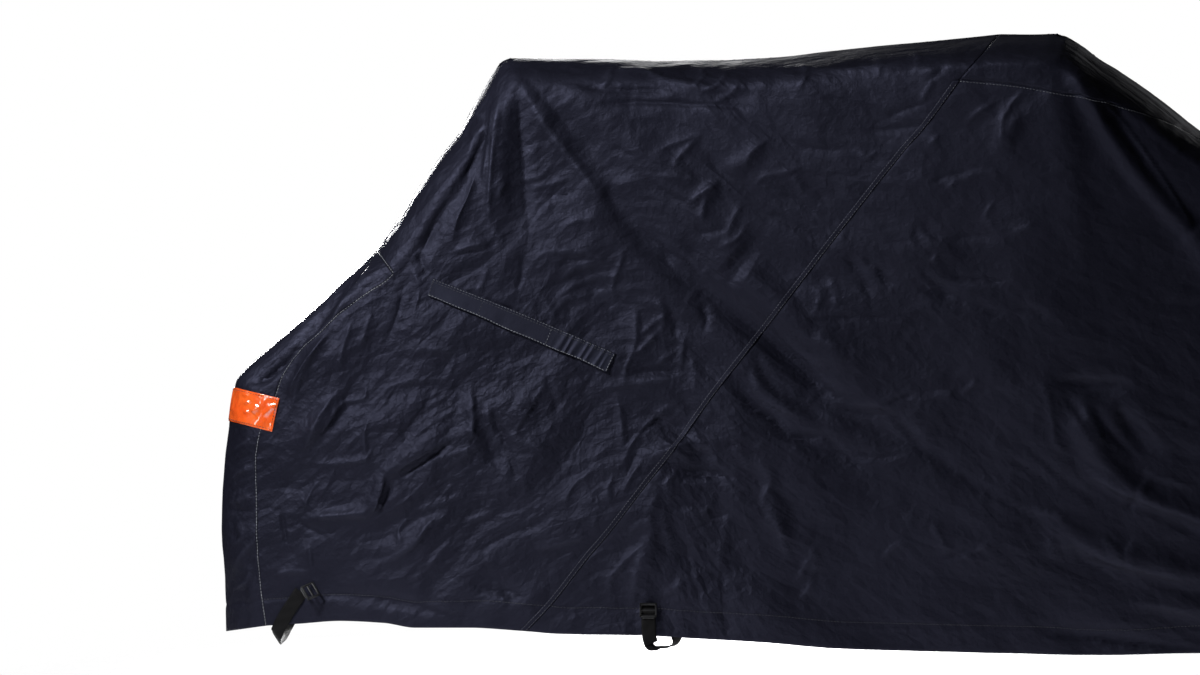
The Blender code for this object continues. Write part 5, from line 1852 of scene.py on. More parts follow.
@dataclass
class Strap(SewnOn):
    """Webbing that follows a line."""

    slot: Slot = Slot.WEBBING
    flat: Pair = (0.02, 0.2)
    rests_on: Names = ()
    thickness: float = 1.4
    across: int = 8
    steps: int = 160
    swell: float = 0.35     # how much thicker it is in the middle than at its edges

    def ribbon(self, centres: Array, widths: Array) -> Array:
        """The outer face of webbing.

        Args:
            centres: The middle of the webbing along its line.
            widths: Unit vectors along its width.

        Returns:
            A grid of places, one row for each line along the webbing.
        """
        offset = np.linspace(-0.5, 0.5, self.across + 1) * WEBBING_WIDTH
        middle = centres[None] + offset[:, None, None] * widths[None]
        rounded = self.swell * (1 - (2 * offset / WEBBING_WIDTH) ** 8)[:, None, None]
        return middle + grid_normals(middle) * (self.thickness / 2 - self.swell + rounded)


def outside_at(x: Array, z: Array, side: Side) -> Array:
    """How far the finished cloth stands from the centre plane at true places.

    Args:
        x: Places forward.
        z: Places upward.
        side: Which side of the cover.

    Returns:
        The distance from the centre plane.
    """
    folds = FOLDS if side is Side.RIGHT else FAR_FOLDS
    shape = np.shape(x)
    x, z = np.ravel(x), np.ravel(z)
    out = np.full(x.shape, 100.0)
    for _ in range(4):
        near = 1 - out / VIEW_DISTANCE
        u, w = VIEW_U + (x - VIEW_U) / near, VIEW_W + (z - VIEW_W) / near
        out = half_width(u, w, folds)
    places = np.stack([x, side.value * out, z], axis=-1)
    return (out + RELIEF.heights(places, np.stack([u, w], axis=-1), side)).reshape(shape)


@dataclass
class SideStrap(Strap):
    """The side strap: through its buckle, down the outside, round the hem and up the inside."""

    name: str = "side_webbing"
    node: str = "strap_side"
    flat: Pair = (0.02, 0.18)
    rests_on: Names = ("front_side_right_cloth",)
    threaded: float = 3.4       # how far it stands out over the buckle's middle bar
    bar_reach: float = 3.4

    def grid(self) -> Array:
        """The strap's outer face.

        Returns:
            A grid of places along the strap.
        """
        table = np.array(SIDE_STRAP, float)
        u, w, out, turn = along(table, np.linspace(0, 1, self.steps + 1)).T
        turn = np.radians(turn)
        held = w.clip(SIDE_STRAP_HEM_W)
        spread = np.linspace(-0.5, 0.5, 5)[:, None] * WEBBING_WIDTH * np.cos(turn)
        drawn = np.stack([u + spread, np.broadcast_to(held, spread.shape)], axis=-1)
        base = half_width(u, held, FOLDS)
        places = folded(drawn, Side.RIGHT)
        rise = RELIEF.heights(places.reshape(-1, 3), drawn.reshape(-1, 2), Side.RIGHT)
        face = -places[..., 1] + rise.reshape(spread.shape)
        seated = np.where(out > 0, face.max(axis=0), face.min(axis=0)) - base
        over = self.threaded * np.exp(-(((w - SIDE_BUCKLE_PLACE[1]) / self.bar_reach) ** 2)) * (out > 0)
        centres = true_place(u, w, base + seated + out + over)
        widths = np.stack([np.cos(turn), np.sin(turn), np.zeros(len(turn))], axis=-1)
        run = unit(np.gradient(centres, axis=0))
        widths = unit(square_to(widths, run))
        return self.ribbon(centres, widths)


@dataclass
class RearStrap(Strap):
    """The rear strap: from its buckle round behind the wheel to the inside of the far hem."""

    name: str = "rear_webbing"
    node: str = "strap_rear"
    flat: Pair = (0.02, 0.28)
    rests_on: Names = ("body_rear_cloth",)
    room: float = 0.6       # between the cloth and the webbing
    seating: float = 9.0    # height over which it comes to lie on the cloth

    def grid(self) -> Array:
        """The strap's outer face.

        Returns:
            A grid of places along the strap.
        """
        centres = along(REAR_STRAP, np.linspace(0, 1, self.steps + 1))
        run = unit(np.gradient(centres, axis=0))
        across = np.array(REAR_STRAP_WIDTH_DIRECTION)
        widths = unit(across - run * (run @ across)[:, None])
        spread = centres[None] + (np.linspace(-0.5, 0.5, 5) * WEBBING_WIDTH)[:, None, None] * widths
        off = self.room + self.thickness / 2
        right = outside_at(spread[..., 0], spread[..., 2], Side.RIGHT).max(axis=0) + off
        left = outside_at(spread[..., 0], spread[..., 2], Side.LEFT).min(axis=0)
        left = left - CLOTH_THICKNESS - off
        seated = np.where(centres[:, 1] < 0, -right, left)
        hold = ease((centres[:, 2] - REAR_STRAP_SEATED_Z + self.seating) / self.seating)
        centres[:, 1] += (seated - centres[:, 1]) * hold
        run = unit(np.gradient(centres, axis=0))
        widths = unit(across - run * (run @ across)[:, None])
        return self.ribbon(centres, widths)


@dataclass
class Buckle:
    """A moulded ladder-lock buckle: two rails, three bars and a lip to lift it by."""

    name: str
    node: str
    middle: Array       # its middle, and unit vectors along its width and its length
    across: Array
    up: Array
    width: float = 24.0
    length: float = 20.0
    thickness: float = 3.0
    rail: float = 2.6
    rounding: float = 0.7

    def __post_init__(self) -> None:
        """Make the buckle at its place."""
        half, end, rail = self.width / 2, self.length / 2, self.rail
        boxes = (
            # size, middle
            ((rail, self.length, self.thickness), (-half + rail / 2, 0, 0)),
            ((rail, self.length, self.thickness), (half - rail / 2, 0, 0)),
            ((self.width, 3.2, self.thickness), (0, end - 1.6, 0)),
            ((self.width, 2.8, self.thickness - 1.0), (0, 0, -0.5)),
            ((self.width, 3.4, self.thickness), (0, -end + 1.7, 0)),
            ((self.width - 7, 2.6, 1.5), (0, -end - 0.7, 0.9)),
        )
        bm = bmesh.new()
        for size, middle in boxes:
            made = bmesh.ops.create_cube(bm, size=1.0)["verts"]
            bmesh.ops.scale(bm, vec=Vector(size), verts=made)
            bmesh.ops.translate(bm, vec=Vector(middle), verts=made)
        bmesh.ops.bevel(bm, geom=list(bm.edges), offset=self.rounding, segments=3, profile=0.6,
                        affect="EDGES", clamp_overlap=True)
        placed = np.eye(4)
        axes = (self.across, self.up, np.cross(self.across, self.up), self.middle)
        placed[:3] = np.stack(axes, axis=-1)
        bmesh.ops.transform(bm, matrix=Matrix(placed.tolist()), verts=bm.verts)
        bm.verts.index_update()
        places = np.array([vert.co[:] for vert in bm.verts])
        faces = [[vert.index for vert in face.verts] for face in bm.faces]
        bm.free()
        self.piece = new_piece(self.name, places, faces, Slot.BUCKLE, places[:, [0, 2]] * MM)
        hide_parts(self.node)


def make_buckles() -> list[Buckle]:
    """Make both buckles on their straps.

    Returns:
        The side buckle and the rear buckle.
    """
    u, w = SIDE_BUCKLE_PLACE
    around = np.array([[u + du, w + dw] for du in (-10, 0, 10) for dw in (-9, 0, 9)], float)
    places = folded(around[None], Side.RIGHT)[0]
    out = np.max(-places[:, 1] + RELIEF.heights(places, around, Side.RIGHT))
    middle = true_place(np.array(u), np.array(w), np.array(out + SIDE_BUCKLE_OFF))
    side = Buckle("side_buckle", "buckle_side", middle, np.array([1.0, 0, 0]), np.array([0, 0, 1.0]))
    box = np.array([list(corner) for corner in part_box("buckle_rear")]) / MM
    across = unit(np.array(REAR_BUCKLE_WIDTH_DIRECTION))
    up = unit(np.cross(np.array(REAR_BUCKLE_FACE), across))
    return [side, Buckle("rear_buckle", "buckle_rear", box.mean(axis=0), across, up)]


# ---------------------------------------------------------------- seams' bands and stitches


@dataclass
class SeamBand:
    """The felled band along the diagonal seam, on one side of the rear cloth."""

    name: str
    cloth: Surface
    offsets: tuple[float, ...] = (6.6, 6.0, 5.0, 3.0, 0.8, -0.7, -1.2)
    lifts: tuple[float, ...] = (0.1, 0.35, 0.5, 0.6, 0.7, 0.75, 0.1)
    thickness: float = 0.4

    def __post_init__(self) -> None:
        """Make the band beside the cloth's right-hand edge."""
        rows = []
        for offset, lift in zip(self.offsets, self.lifts):
            place, normal = self.cloth.at(*self.cloth.beside("right", offset))
            rows.append((place + normal * (lift + self.thickness))[::2])
        grid = np.stack(rows)
        if grid.shape[1] % 2 == 0:
            grid = grid[:, :-1]
        if np.sum(grid_normals(grid) * self.cloth.normals[0, 0]) < 0:
            grid = grid[::-1]
        places, numbers = weld([grid])
        self.surface = Surface(grid, grid_normals(grid))
        whole, quads, triangles, copied = shell(places, numbers, self.thickness)
        uv = whole[:, [0, 2]] * MM
        self.piece = new_piece(self.name, whole, quads.tolist() + triangles.tolist(), Slot.CLOTH, uv)


@dataclass
class Stitching:
    """Rows of stitches of one thread, joined in one piece."""

    name: str
    finish: Finish
    length: float = 3.4
    pitch: float = 4.6
    width: float = 0.75
    height: float = 0.42
    seed: int = 17
    askew: float = 0.05     # how much their headings and lengths differ
    uneven: float = 0.06
    parts: list = field(default_factory=list)

    def grain(self) -> tuple[Array, list]:
        """The shape of one stitch: a short rounded thread.

        Returns:
            Its vertices, with x along the thread, and its faces.
        """
        ring = np.array([(0, 1, 0), (0, 0, 1), (0, -1, 0), (0, 0, -1)], float)
        places = [(-0.5, 0, -0.6)]
        places += [(x, y * 0.5, z) for x in (-0.3, 0.3) for _, y, z in ring]
        places += [(0.5, 0, -0.6)]
        faces = [(0, 1 + (k + 1) % 4, 1 + k) for k in range(4)]
        faces += [(1 + k, 1 + (k + 1) % 4, 5 + (k + 1) % 4, 5 + k) for k in range(4)]
        faces += [(5 + k, 5 + (k + 1) % 4, 9) for k in range(4)]
        return np.array(places), faces

    def row(self, surface: Surface, line: tuple[Array, Array], lift: float = 0.0) -> None:
        """Add a row of stitches.

        Args:
            surface: What they are sewn through.
            line: Rows and columns of the places along the row.
            lift: How far the thread's middle lies off the surface.
        """
        row, column = line
        place = surface.at(row, column)[0]
        run = lengths_along(place)
        count = int(run[-1] / self.pitch - 0.5)
        middles = (np.arange(count) + 0.7) * self.pitch
        at = [np.interp(middles, run, value) for value in (row, column)]
        ahead = [np.interp(middles + 0.5, run, value) for value in (row, column)]
        middle, normal = surface.at(*at)
        pick = np.random.default_rng(self.seed + len(self.parts))
        heading = unit(surface.at(*ahead)[0] - middle)
        aside = unit(np.cross(normal, heading))
        turn = pick.normal(0, self.askew, count)[:, None]
        heading, aside = unit(heading + aside * turn), unit(aside - heading * turn)
        shape, _ = self.grain()
        size = np.array([self.length, self.width, self.height]) * np.stack(
            [pick.normal(1, self.uneven, count), np.ones(count), np.ones(count)], axis=-1)
        local = shape[None] * size[:, None]
        places = (
            (middle + normal * lift)[:, None] + local[..., :1] * heading[:, None]
            + local[..., 1:2] * aside[:, None] + local[..., 2:] * normal[:, None]
        )
        self.parts.append(places.reshape(-1, 3))

    def make(self) -> bpy.types.Object:
        """Join the rows.

        Returns:
            The object.
        """
        shape, faces = self.grain()
        places = np.concatenate(self.parts)
        first = np.arange(len(places) // len(shape)) * len(shape)
        joined = []
        for face in faces:
            joined += (first[:, None] + np.array(face)).tolist()
        return new_piece(self.name, places, joined, Slot.CLOTH, finish=self.finish)


# ---------------------------------------------------------------- finishes


class Value:
    """A socket of a node, with operators that add maths nodes."""

    def __init__(self, shader: Shader, socket: bpy.types.NodeSocket | None) -> None:
        """Keep the socket and the shader that it belongs to."""
        self.shader, self.socket = shader, socket

    def _maths(self, operation: str, first: Value | float, second: Value | float) -> Value:
        """Add a maths node."""
        return self.shader.node("ShaderNodeMath", {"operation": operation}, {0: first, 1: second})

    def __add__(self, other: Value | float) -> Value:
        """This value plus another."""
        return self._maths("ADD", self, other)

    def __sub__(self, other: Value | float) -> Value:
        """This value less another."""
        return self._maths("SUBTRACT", self, other)

    def __mul__(self, other: Value | float) -> Value:
        """This value times another."""
        return self._maths("MULTIPLY", self, other)

    __radd__ = __add__
    __rmul__ = __mul__

    def spread(self, low: float, high: float) -> Value:
        """Stretch a stretch of this value to 0 to 1.

        Args:
            low: What becomes 0.
            high: What becomes 1.

        Returns:
            The new value, kept within 0 and 1.
        """
        return self.shader.node(
            "ShaderNodeMapRange", {"clamp": True}, {"Value": self, "From Min": low, "From Max": high}
        )


class Shader:
    """A material's or a world's node tree, built from values."""

    def __init__(self, tree: bpy.types.NodeTree) -> None:
        """Start with an empty tree."""
        self.tree = tree
        tree.nodes.clear()

    def node(self, kind: str, settings: dict | None = None, inputs: dict | None = None,
             output: str | int = 0) -> Value:
        """Add a node.

        Args:
            kind: Its type.
            settings: Properties to set on it.
            inputs: Numbers, colours or values for its inputs, by name or number.
            output: Name or number of the output that is wanted.

        Returns:
            That output.
        """
        made = self.tree.nodes.new(kind)
        for name, setting in (settings or {}).items():
            setattr(made, name, setting)
        for name, value in (inputs or {}).items():
            if isinstance(value, Value):
                self.tree.links.new(value.socket, made.inputs[name])
            else:
                made.inputs[name].default_value = value
        return Value(self, made.outputs[output] if made.outputs else None)

    def place(self, output: str = "Object") -> Value:
        """Where a spot is: on the "Object", in its "UV" map or in the world, "Generated"."""
        return self.node("ShaderNodeTexCoord", output=output)

    def layer(self, name: str, output: str = "Fac") -> Value:
        """A layer of the mesh, by its name."""
        return self.node("ShaderNodeAttribute", {"attribute_name": name}, output=output)

    def noise(self, place: Value, scale: float, detail: float, roughness: float = 0.5) -> Value:
        """Add a noise texture."""
        inputs = {"Vector": place, "Scale": scale, "Detail": detail, "Roughness": roughness}
        return self.node("ShaderNodeTexNoise", {}, inputs)

    def facets(self, place: Value, scale: float, apart: tuple[float, float, float]) -> Value:
        """Add flat facets that meet in sharp ridges and troughs.

        Args:
            place: Where they are read.
            scale: Facets in a metre.
            apart: How far the bowls of the second set are moved.

        Returns:
            Heights, mostly from -0.5 to 0.5.
        """
        moved = self.node("ShaderNodeVectorMath", {"operation": "ADD"}, {0: place, 1: apart})
        bowls = [
            self.node("ShaderNodeTexVoronoi", {}, {"Vector": vector, "Scale": scale})
            for vector in (place, moved)
        ]
        return bowls[0] * bowls[0] - bowls[1] * bowls[1]

    def ridges(self, place: Value, scale: float) -> Value:
        """Add sharp ridges that branch: where a noise crosses its middle, folded over."""
        inputs = {"Vector": place, "Scale": scale, "Detail": 3.0, "Offset": 1.0, "Gain": 2.0}
        return self.node("ShaderNodeTexNoise", {"noise_type": "RIDGED_MULTIFRACTAL"}, inputs)

    def mix(self, share: Value | float, first: Value | tuple, second: Value | tuple) -> Value:
        """Mix two colours."""
        return self.node("ShaderNodeMix", {"data_type": "RGBA"}, {0: share, 6: first, 7: second}, 2)

    def bump(self, height: Value, strength: float, distance: float, normal: Value | None = None) -> Value:
        """Add bump.

        Args:
            height: Height, 0 to 1.
            strength: How strongly it shows.
            distance: What a height of 1 is in metres.
            normal: Bump that this one goes on top of.

        Returns:
            The normal.
        """
        inputs = {"Height": height, "Strength": strength, "Distance": distance}
        if normal is not None:
            inputs["Normal"] = normal
        return self.node("ShaderNodeBump", {}, inputs)


@dataclass(frozen=True)
class Finish:
    """A finish that fills a slot of the record."""

    name: str

    def make(self) -> bpy.types.Material:
        """Build the material.

        Returns:
            The material.
        """
        made = bpy.data.materials.new(self.name)
        made.use_nodes = True
        shader = Shader(made.node_tree)
        surface = self.surface(shader)
        shader.node("ShaderNodeOutputMaterial", {}, {"Surface": surface})
        return made

    def surface(self, shader: Shader) -> Value:
        """The finish's surface shader."""
        raise NotImplementedError


@dataclass(frozen=True)
class ClothFinish(Finish):
    """Thin coated cloth: dark, softly glossy, finely woven, with a painted highlight on its crests."""

    dark: Colour = (0.0056, 0.0056, 0.0105, 1.0)
    light: Colour = (0.0086, 0.0086, 0.0155, 1.0)
    # painted highlight: the lighter colour laid on sharp crests in place of their sheen
    painted_highlight_colour: Colour = (0.024, 0.025, 0.040, 1.0)
    shine: Colour = (0.60, 0.62, 0.95, 1.0)
    roughness: float = 0.52
    gloss: float = 0.36
    threads: float = 1500.0     # in a metre
    scales: Place = (7.0, 160.0, 230.0)     # of the slow noise, the fine noise and the grain
    grain: Pair = (0.5, 0.0006)     # strength and height as bump
    weave: Pair = (0.12, 0.00008)
    facets: tuple[tuple, ...] = (
        # cells in a metre, height, how far apart the two sets of bowls are
        (15.0, 0.0064, (3.1, 7.7, 1.3)),
        (36.0, 0.0024, (8.3, 2.9, 5.1)),
        (95.0, 0.0009, (1.7, 4.4, 9.2)),
    )
    ridges: tuple[Pair, ...] = ((13.0, 0.0006), (37.0, 0.0006), (97.0, 0.00025))    # in a metre, height

    def surface(self, shader: Shader) -> Value:
        """Colour by slow noise, a painted highlight on the crests, fine crumples and a weave as bump.

        Args:
            shader: The tree to build in.

        Returns:
            The shader's output.
        """
        place = shader.place()
        uv = shader.place("UV")
        painted_highlight_mask = shader.layer("painted_highlight_mask")
        slow = shader.noise(place, self.scales[0], 4.0).spread(0.3, 0.7)
        fine = shader.noise(place, self.scales[1], 3.0).spread(0.3, 0.7)
        colour = shader.mix(slow, self.dark, self.light)
        # painted highlight: crests are made lighter in colour where their sheen would catch the light
        colour = shader.mix(painted_highlight_mask * (0.25 + 0.3 * fine), colour, self.painted_highlight_colour)
        grained = shader.layer("grained", "Vector")
        crumpled = shader.layer("crumpled")
        layers = [height * shader.facets(grained, scale, apart) for scale, height, apart in self.facets]
        places = (grained, place, place)
        layers += [
            height * shader.ridges(at, scale) for at, (scale, height) in zip(places, self.ridges)
        ]
        crumples = sum(layers[1:], layers[0])
        grain = shader.noise(place, self.scales[2], 4.0, 0.65)
        weave = [
            shader.node("ShaderNodeTexWave", {"bands_direction": way},
                        {"Vector": uv, "Scale": self.threads / 20, "Distortion": 0.0}, "Fac")
            for way in ("X", "Y")
        ]
        normal = shader.bump(crumples * crumpled, 1.0, 1.0)
        normal = shader.bump(grain, *self.grain, normal)
        normal = shader.bump(weave[0] + weave[1], *self.weave, normal)
        rough = self.roughness + 0.10 * fine - 0.05 * painted_highlight_mask + 0.05 * slow
        return shader.node("ShaderNodeBsdfPrincipled", {}, {
            "Base Color": colour, "Roughness": rough, "Normal": normal,
            "Specular IOR Level": self.gloss, "Specular Tint": self.shine,
        })


@dataclass(frozen=True)
class ReflectorFinish(Finish):
    """Orange reflective film: glossy, with fine cells under its face."""

    bright: Colour = (1.0, 0.150, 0.020, 1.0)
    deep: Colour = (0.90, 0.098, 0.010, 1.0)
    cells: float = 520.0        # in a metre
    cell_bump: Pair = (0.10, 0.0001)        # strength and height
    dents: float = 42.0
    dent_bump: Pair = (1.0, 0.011)
    coat: Pair = (0.04, 2.3)    # roughness and index of refraction
    # painted glow: the film emits its own orange in place of the light it reflects
    glow: float = 0.30

    def surface(self, shader: Shader) -> Value:
        """Orange by noise, cells as bump, a clear coat and a painted glow: emission that stands in for the
        light the film reflects back.

        Args:
            shader: The tree to build in.

        Returns:
            The shader's output.
        """
        place = shader.place()
        uv = shader.place("UV")
        cells = shader.node("ShaderNodeTexVoronoi", {"feature": "DISTANCE_TO_EDGE"},
                            {"Vector": uv, "Scale": self.cells})
        slow = shader.noise(place, 45.0, 3.0).spread(0.35, 0.65)
        colour = shader.mix(slow, self.bright, self.deep)
        dents = shader.noise(place, self.dents, 1.5)
        normal = shader.bump(cells.spread(0.0, 0.12), *self.cell_bump)
        normal = shader.bump(dents, *self.dent_bump, normal)
        return shader.node("ShaderNodeBsdfPrincipled", {}, {
            "Base Color": colour, "Roughness": 0.22 + 0.08 * slow, "Normal": normal,
            "Coat Weight": 1.0, "Coat Roughness": self.coat[0], "Coat IOR": self.coat[1],
            # painted glow: emission of the film's own colour, standing in for reflected light
            "Emission Color": colour, "Emission Strength": self.glow,
        })


@dataclass(frozen=True)
class WebbingFinish(Finish):
    """Black ribbed webbing."""

    dark: Colour = (0.0022, 0.0020, 0.0024, 1.0)
    light: Colour = (0.0070, 0.0066, 0.0076, 1.0)
    ribs: float = 620.0         # in a metre
    rib_bump: Pair = (0.6, 0.0003)      # strength and height

    def surface(self, shader: Shader) -> Value:
        """Ribs across the webbing, broken by noise.

        Args:
            shader: The tree to build in.

        Returns:
            The shader's output.
        """
        uv = shader.place("UV")
        place = shader.place()
        ribs = shader.node("ShaderNodeTexWave", {"bands_direction": "DIAGONAL"},
                           {"Vector": uv, "Scale": self.ribs / 20, "Distortion": 1.5})
        fuzz = shader.noise(place, 900.0, 2.0)
        colour = shader.mix(ribs * fuzz, self.dark, self.light)
        normal = shader.bump(ribs, *self.rib_bump)
        return shader.node("ShaderNodeBsdfPrincipled", {}, {
            "Base Color": colour, "Roughness": 0.62 + 0.2 * fuzz, "Normal": normal,
            "Specular IOR Level": 0.2,
        })


@dataclass(frozen=True)
class PlasticFinish(Finish):
    """Black moulded plastic with a fine grain."""

    dark: Colour = (0.005, 0.005, 0.006, 1.0)
    light: Colour = (0.014, 0.014, 0.016, 1.0)
    grain: float = 1400.0       # in a metre
    grain_bump: Pair = (0.2, 0.0002)    # strength and height

    def surface(self, shader: Shader) -> Value:
        """Satin plastic, uneven at the scale of its moulded grain.

        Args:
            shader: The tree to build in.

        Returns:
            The shader's output.
        """
        place = shader.place()
        grain = shader.noise(place, self.grain, 3.0)
        slow = shader.noise(place, 160.0, 2.0).spread(0.35, 0.7)
        return shader.node("ShaderNodeBsdfPrincipled", {}, {
            "Base Color": shader.mix(slow, self.dark, self.light),
            "Roughness": 0.28 + 0.16 * slow, "Normal": shader.bump(grain, *self.grain_bump),
        })


@dataclass(frozen=True)
class ThreadFinish(Finish):
    """Sewing thread, twisted."""

    pale: Colour = (0.26, 0.27, 0.30, 1.0)
    deep: Colour = (0.12, 0.125, 0.15, 1.0)
    twists: float = 2200.0      # in a metre
    twist_bump: Pair = (0.4, 0.0002)    # strength and height

    def surface(self, shader: Shader) -> Value:
        """Thread that is lighter and darker along its length.

        Args:
            shader: The tree to build in.

        Returns:
            The shader's output.
        """
        place = shader.place()
        slow = shader.noise(place, 60.0, 3.0).spread(0.3, 0.7)
        twist = shader.noise(place, self.twists, 1.0)
        return shader.node("ShaderNodeBsdfPrincipled", {}, {
            "Base Color": shader.mix(slow, self.pale, self.deep), "Roughness": 0.5 + 0.1 * slow,
            "Normal": shader.bump(twist, *self.twist_bump), "Sheen Weight": 0.1,
        })


@dataclass(frozen=True)
class FloorFinish(Finish):
    """A pale floor that fades out all round."""

    colour: Colour = (0.82, 0.82, 0.83, 1.0)
    middle: Place = FLOOR_MIDDLE
    shortened: Place = (0.72, 1.0, 1.0)     # so the fade is an ellipse, longer along the cover
    fade_from: float = 0.85
    fade_to: float = 1.35
    glow: float = 0.42

    def surface(self, shader: Shader) -> Value:
        """Matte floor, mixed with nothing by the distance from its middle.

        Args:
            shader: The tree to build in.

        Returns:
            The shader's output.
        """
        place = shader.place()
        aside = shader.node("ShaderNodeVectorMath", {"operation": "SUBTRACT"}, {0: place, 1: self.middle})
        aside = shader.node("ShaderNodeVectorMath", {"operation": "MULTIPLY"}, {0: aside, 1: self.shortened})
        away = shader.node("ShaderNodeVectorMath", {"operation": "LENGTH"}, {0: aside}, "Value")
        grain = shader.noise(place, 60.0, 3.0)
        paint = shader.node("ShaderNodeBsdfPrincipled", {}, {
            "Base Color": self.colour, "Roughness": 0.6 + 0.1 * grain,
            "Normal": shader.bump(grain, 0.05, 0.0005),
            "Emission Color": self.colour, "Emission Strength": self.glow,
        })
        clear = shader.node("ShaderNodeBsdfTransparent")
        return shader.node("ShaderNodeMixShader", {}, {
            0: away.spread(self.fade_from, self.fade_to), 1: paint, 2: clear,
        })


FINISHES = {
    Slot.CLOTH: ClothFinish("coated_cloth"),
    Slot.FLAP: ClothFinish("flap_cloth_finish", light=(0.0150, 0.0165, 0.0270, 1.0)),
    Slot.REFLECTOR: ReflectorFinish("reflective_film"),
    Slot.WEBBING: WebbingFinish("black_webbing"),
    Slot.BUCKLE: PlasticFinish("moulded_black"),
}
THREAD = ThreadFinish("pale_thread")
SEAM_THREAD = ThreadFinish("grey_thread", (0.165, 0.170, 0.200, 1.0), (0.070, 0.073, 0.092, 1.0))
DARK_THREAD = ThreadFinish("dark_thread", (0.060, 0.062, 0.075, 1.0), (0.024, 0.025, 0.032, 1.0))


def material_of(finish: Finish) -> bpy.types.Material:
    """The material of a finish, made once."""
    return bpy.data.materials.get(finish.name) or finish.make()


# ---------------------------------------------------------------- the studio


@dataclass(frozen=True)
class Lamp:
    """A soft area light."""

    name: str
    place: Place
    aim: Place
    size: Pair
    power: float
    colour: Place = (1.0, 1.0, 1.0)
    spread: float = 180.0

    def make(self) -> None:
        """Add the light."""
        light = bpy.data.lights.new(self.name, "AREA")
        light.shape = "RECTANGLE"
        light.size, light.size_y = self.size
        light.energy = self.power
        light.color = self.colour
        light.spread = math.radians(self.spread)
        lamp = bpy.data.objects.new(self.name, light)
        lamp.location = self.place
        heading = Vector(self.aim) - Vector(self.place)
        lamp.rotation_euler = heading.to_track_quat("-Z", "Y").to_euler()
        bpy.context.scene.collection.objects.link(lamp)


@dataclass
class Studio:
    """Floor, lights, surroundings and camera."""

    floor_size: float = 3.4
    camera_place: Place = (0.132, -4.0, -0.407)
    lens: float = 81.96
    sensor: float = 36.0
    sky: tuple[Colour, Colour] = ((0.25, 0.25, 0.27, 1.0), (1.0, 1.0, 1.0, 1.0))    # low and high
    sky_strength: float = 0.020
    backdrop: Colour = (1.0, 1.0, 1.0, 1.0)
    lamps: tuple[Lamp, ...] = (
        Lamp("key", (-1.22, -1.15, 0.72), (-0.25, 0.0, -0.35), (0.45, 0.45), 37.0, (0.96, 0.98, 1.0)),
        Lamp("strip", (-2.35, -1.9, -0.5), (-0.4, -0.3, -0.55), (0.14, 1.0), 2.0),
        Lamp("over", (0.1, -0.3, 2.0), (0.2, 0.0, 0.0), (2.6, 0.8), 1.5),
        Lamp("front", (3.4, -1.8, 0.6), (2.3, 0.0, -0.5), (0.6, 0.6), 15.0, spread=34.0),
        Lamp("far_front", (3.2, 2.4, -0.5), (1.6, 0.2, -0.5), (0.8, 0.8), 18.0, spread=60.0),
        Lamp("back", (0.4, 2.8, -0.2), (0.3, 0.2, -0.45), (0.8, 0.8), 45.0, spread=90.0),
        Lamp("tail_rim", (-0.9, 2.6, 0.1), (-0.22, 0.0, -0.3), (0.4, 0.4), 5.0, spread=24.0),
        Lamp("rim", (0.1, 2.3, 0.75), (0.15, 0.0, 0.0), (0.5, 0.3), 0.4, spread=26.0),
    )

    def make(self) -> None:
        """Set everything up."""
        for lamp in self.lamps:
            lamp.make()
        self.floor()
        self.surroundings()
        self.camera()
        bpy.context.scene.view_settings.view_transform = "Standard"

    def floor(self) -> None:
        """A flat square of floor under the cover."""
        corners = np.array([(-1, -1, 0), (1, -1, 0), (1, 1, 0), (-1, 1, 0)]) * self.floor_size
        mesh = bpy.data.meshes.new("floor")
        mesh.from_pydata((corners + FLOOR_MIDDLE).tolist(), [], [(0, 1, 2, 3)])
        mesh.materials.append(FloorFinish("pale_floor").make())
        floor = bpy.data.objects.new("floor", mesh)
        bpy.context.scene.collection.objects.link(floor)

    def surroundings(self) -> None:
        """White behind the cover, and dimmer light from all round."""
        world = bpy.data.worlds.new("studio")
        world.use_nodes = True
        bpy.context.scene.world = world
        shader = Shader(world.node_tree)
        seen = shader.node("ShaderNodeLightPath", output="Is Camera Ray")
        place = shader.place("Generated")
        height = shader.node("ShaderNodeSeparateXYZ", {}, {0: place}, "Z").spread(-0.4, 0.9)
        sky = shader.mix(height, *self.sky)
        dim = shader.node("ShaderNodeBackground", {}, {"Color": sky, "Strength": self.sky_strength})
        white = shader.node("ShaderNodeBackground", {}, {"Color": self.backdrop, "Strength": 1.0})
        shown = shader.node("ShaderNodeMixShader", {}, {0: seen, 1: dim, 2: white})
        shader.node("ShaderNodeOutputWorld", {}, {"Surface": shown})

    def camera(self) -> None:
        """The camera, level and square to the cover's right-hand side."""
        data = bpy.data.cameras.new("camera")
        data.lens, data.sensor_width = self.lens, self.sensor
        camera = bpy.data.objects.new("camera", data)
        camera.location = self.camera_place
        camera.rotation_euler = (math.pi / 2, 0.0, 0.0)
        bpy.context.scene.collection.objects.link(camera)
        bpy.context.scene.camera = camera


# ---------------------------------------------------------------- putting it together


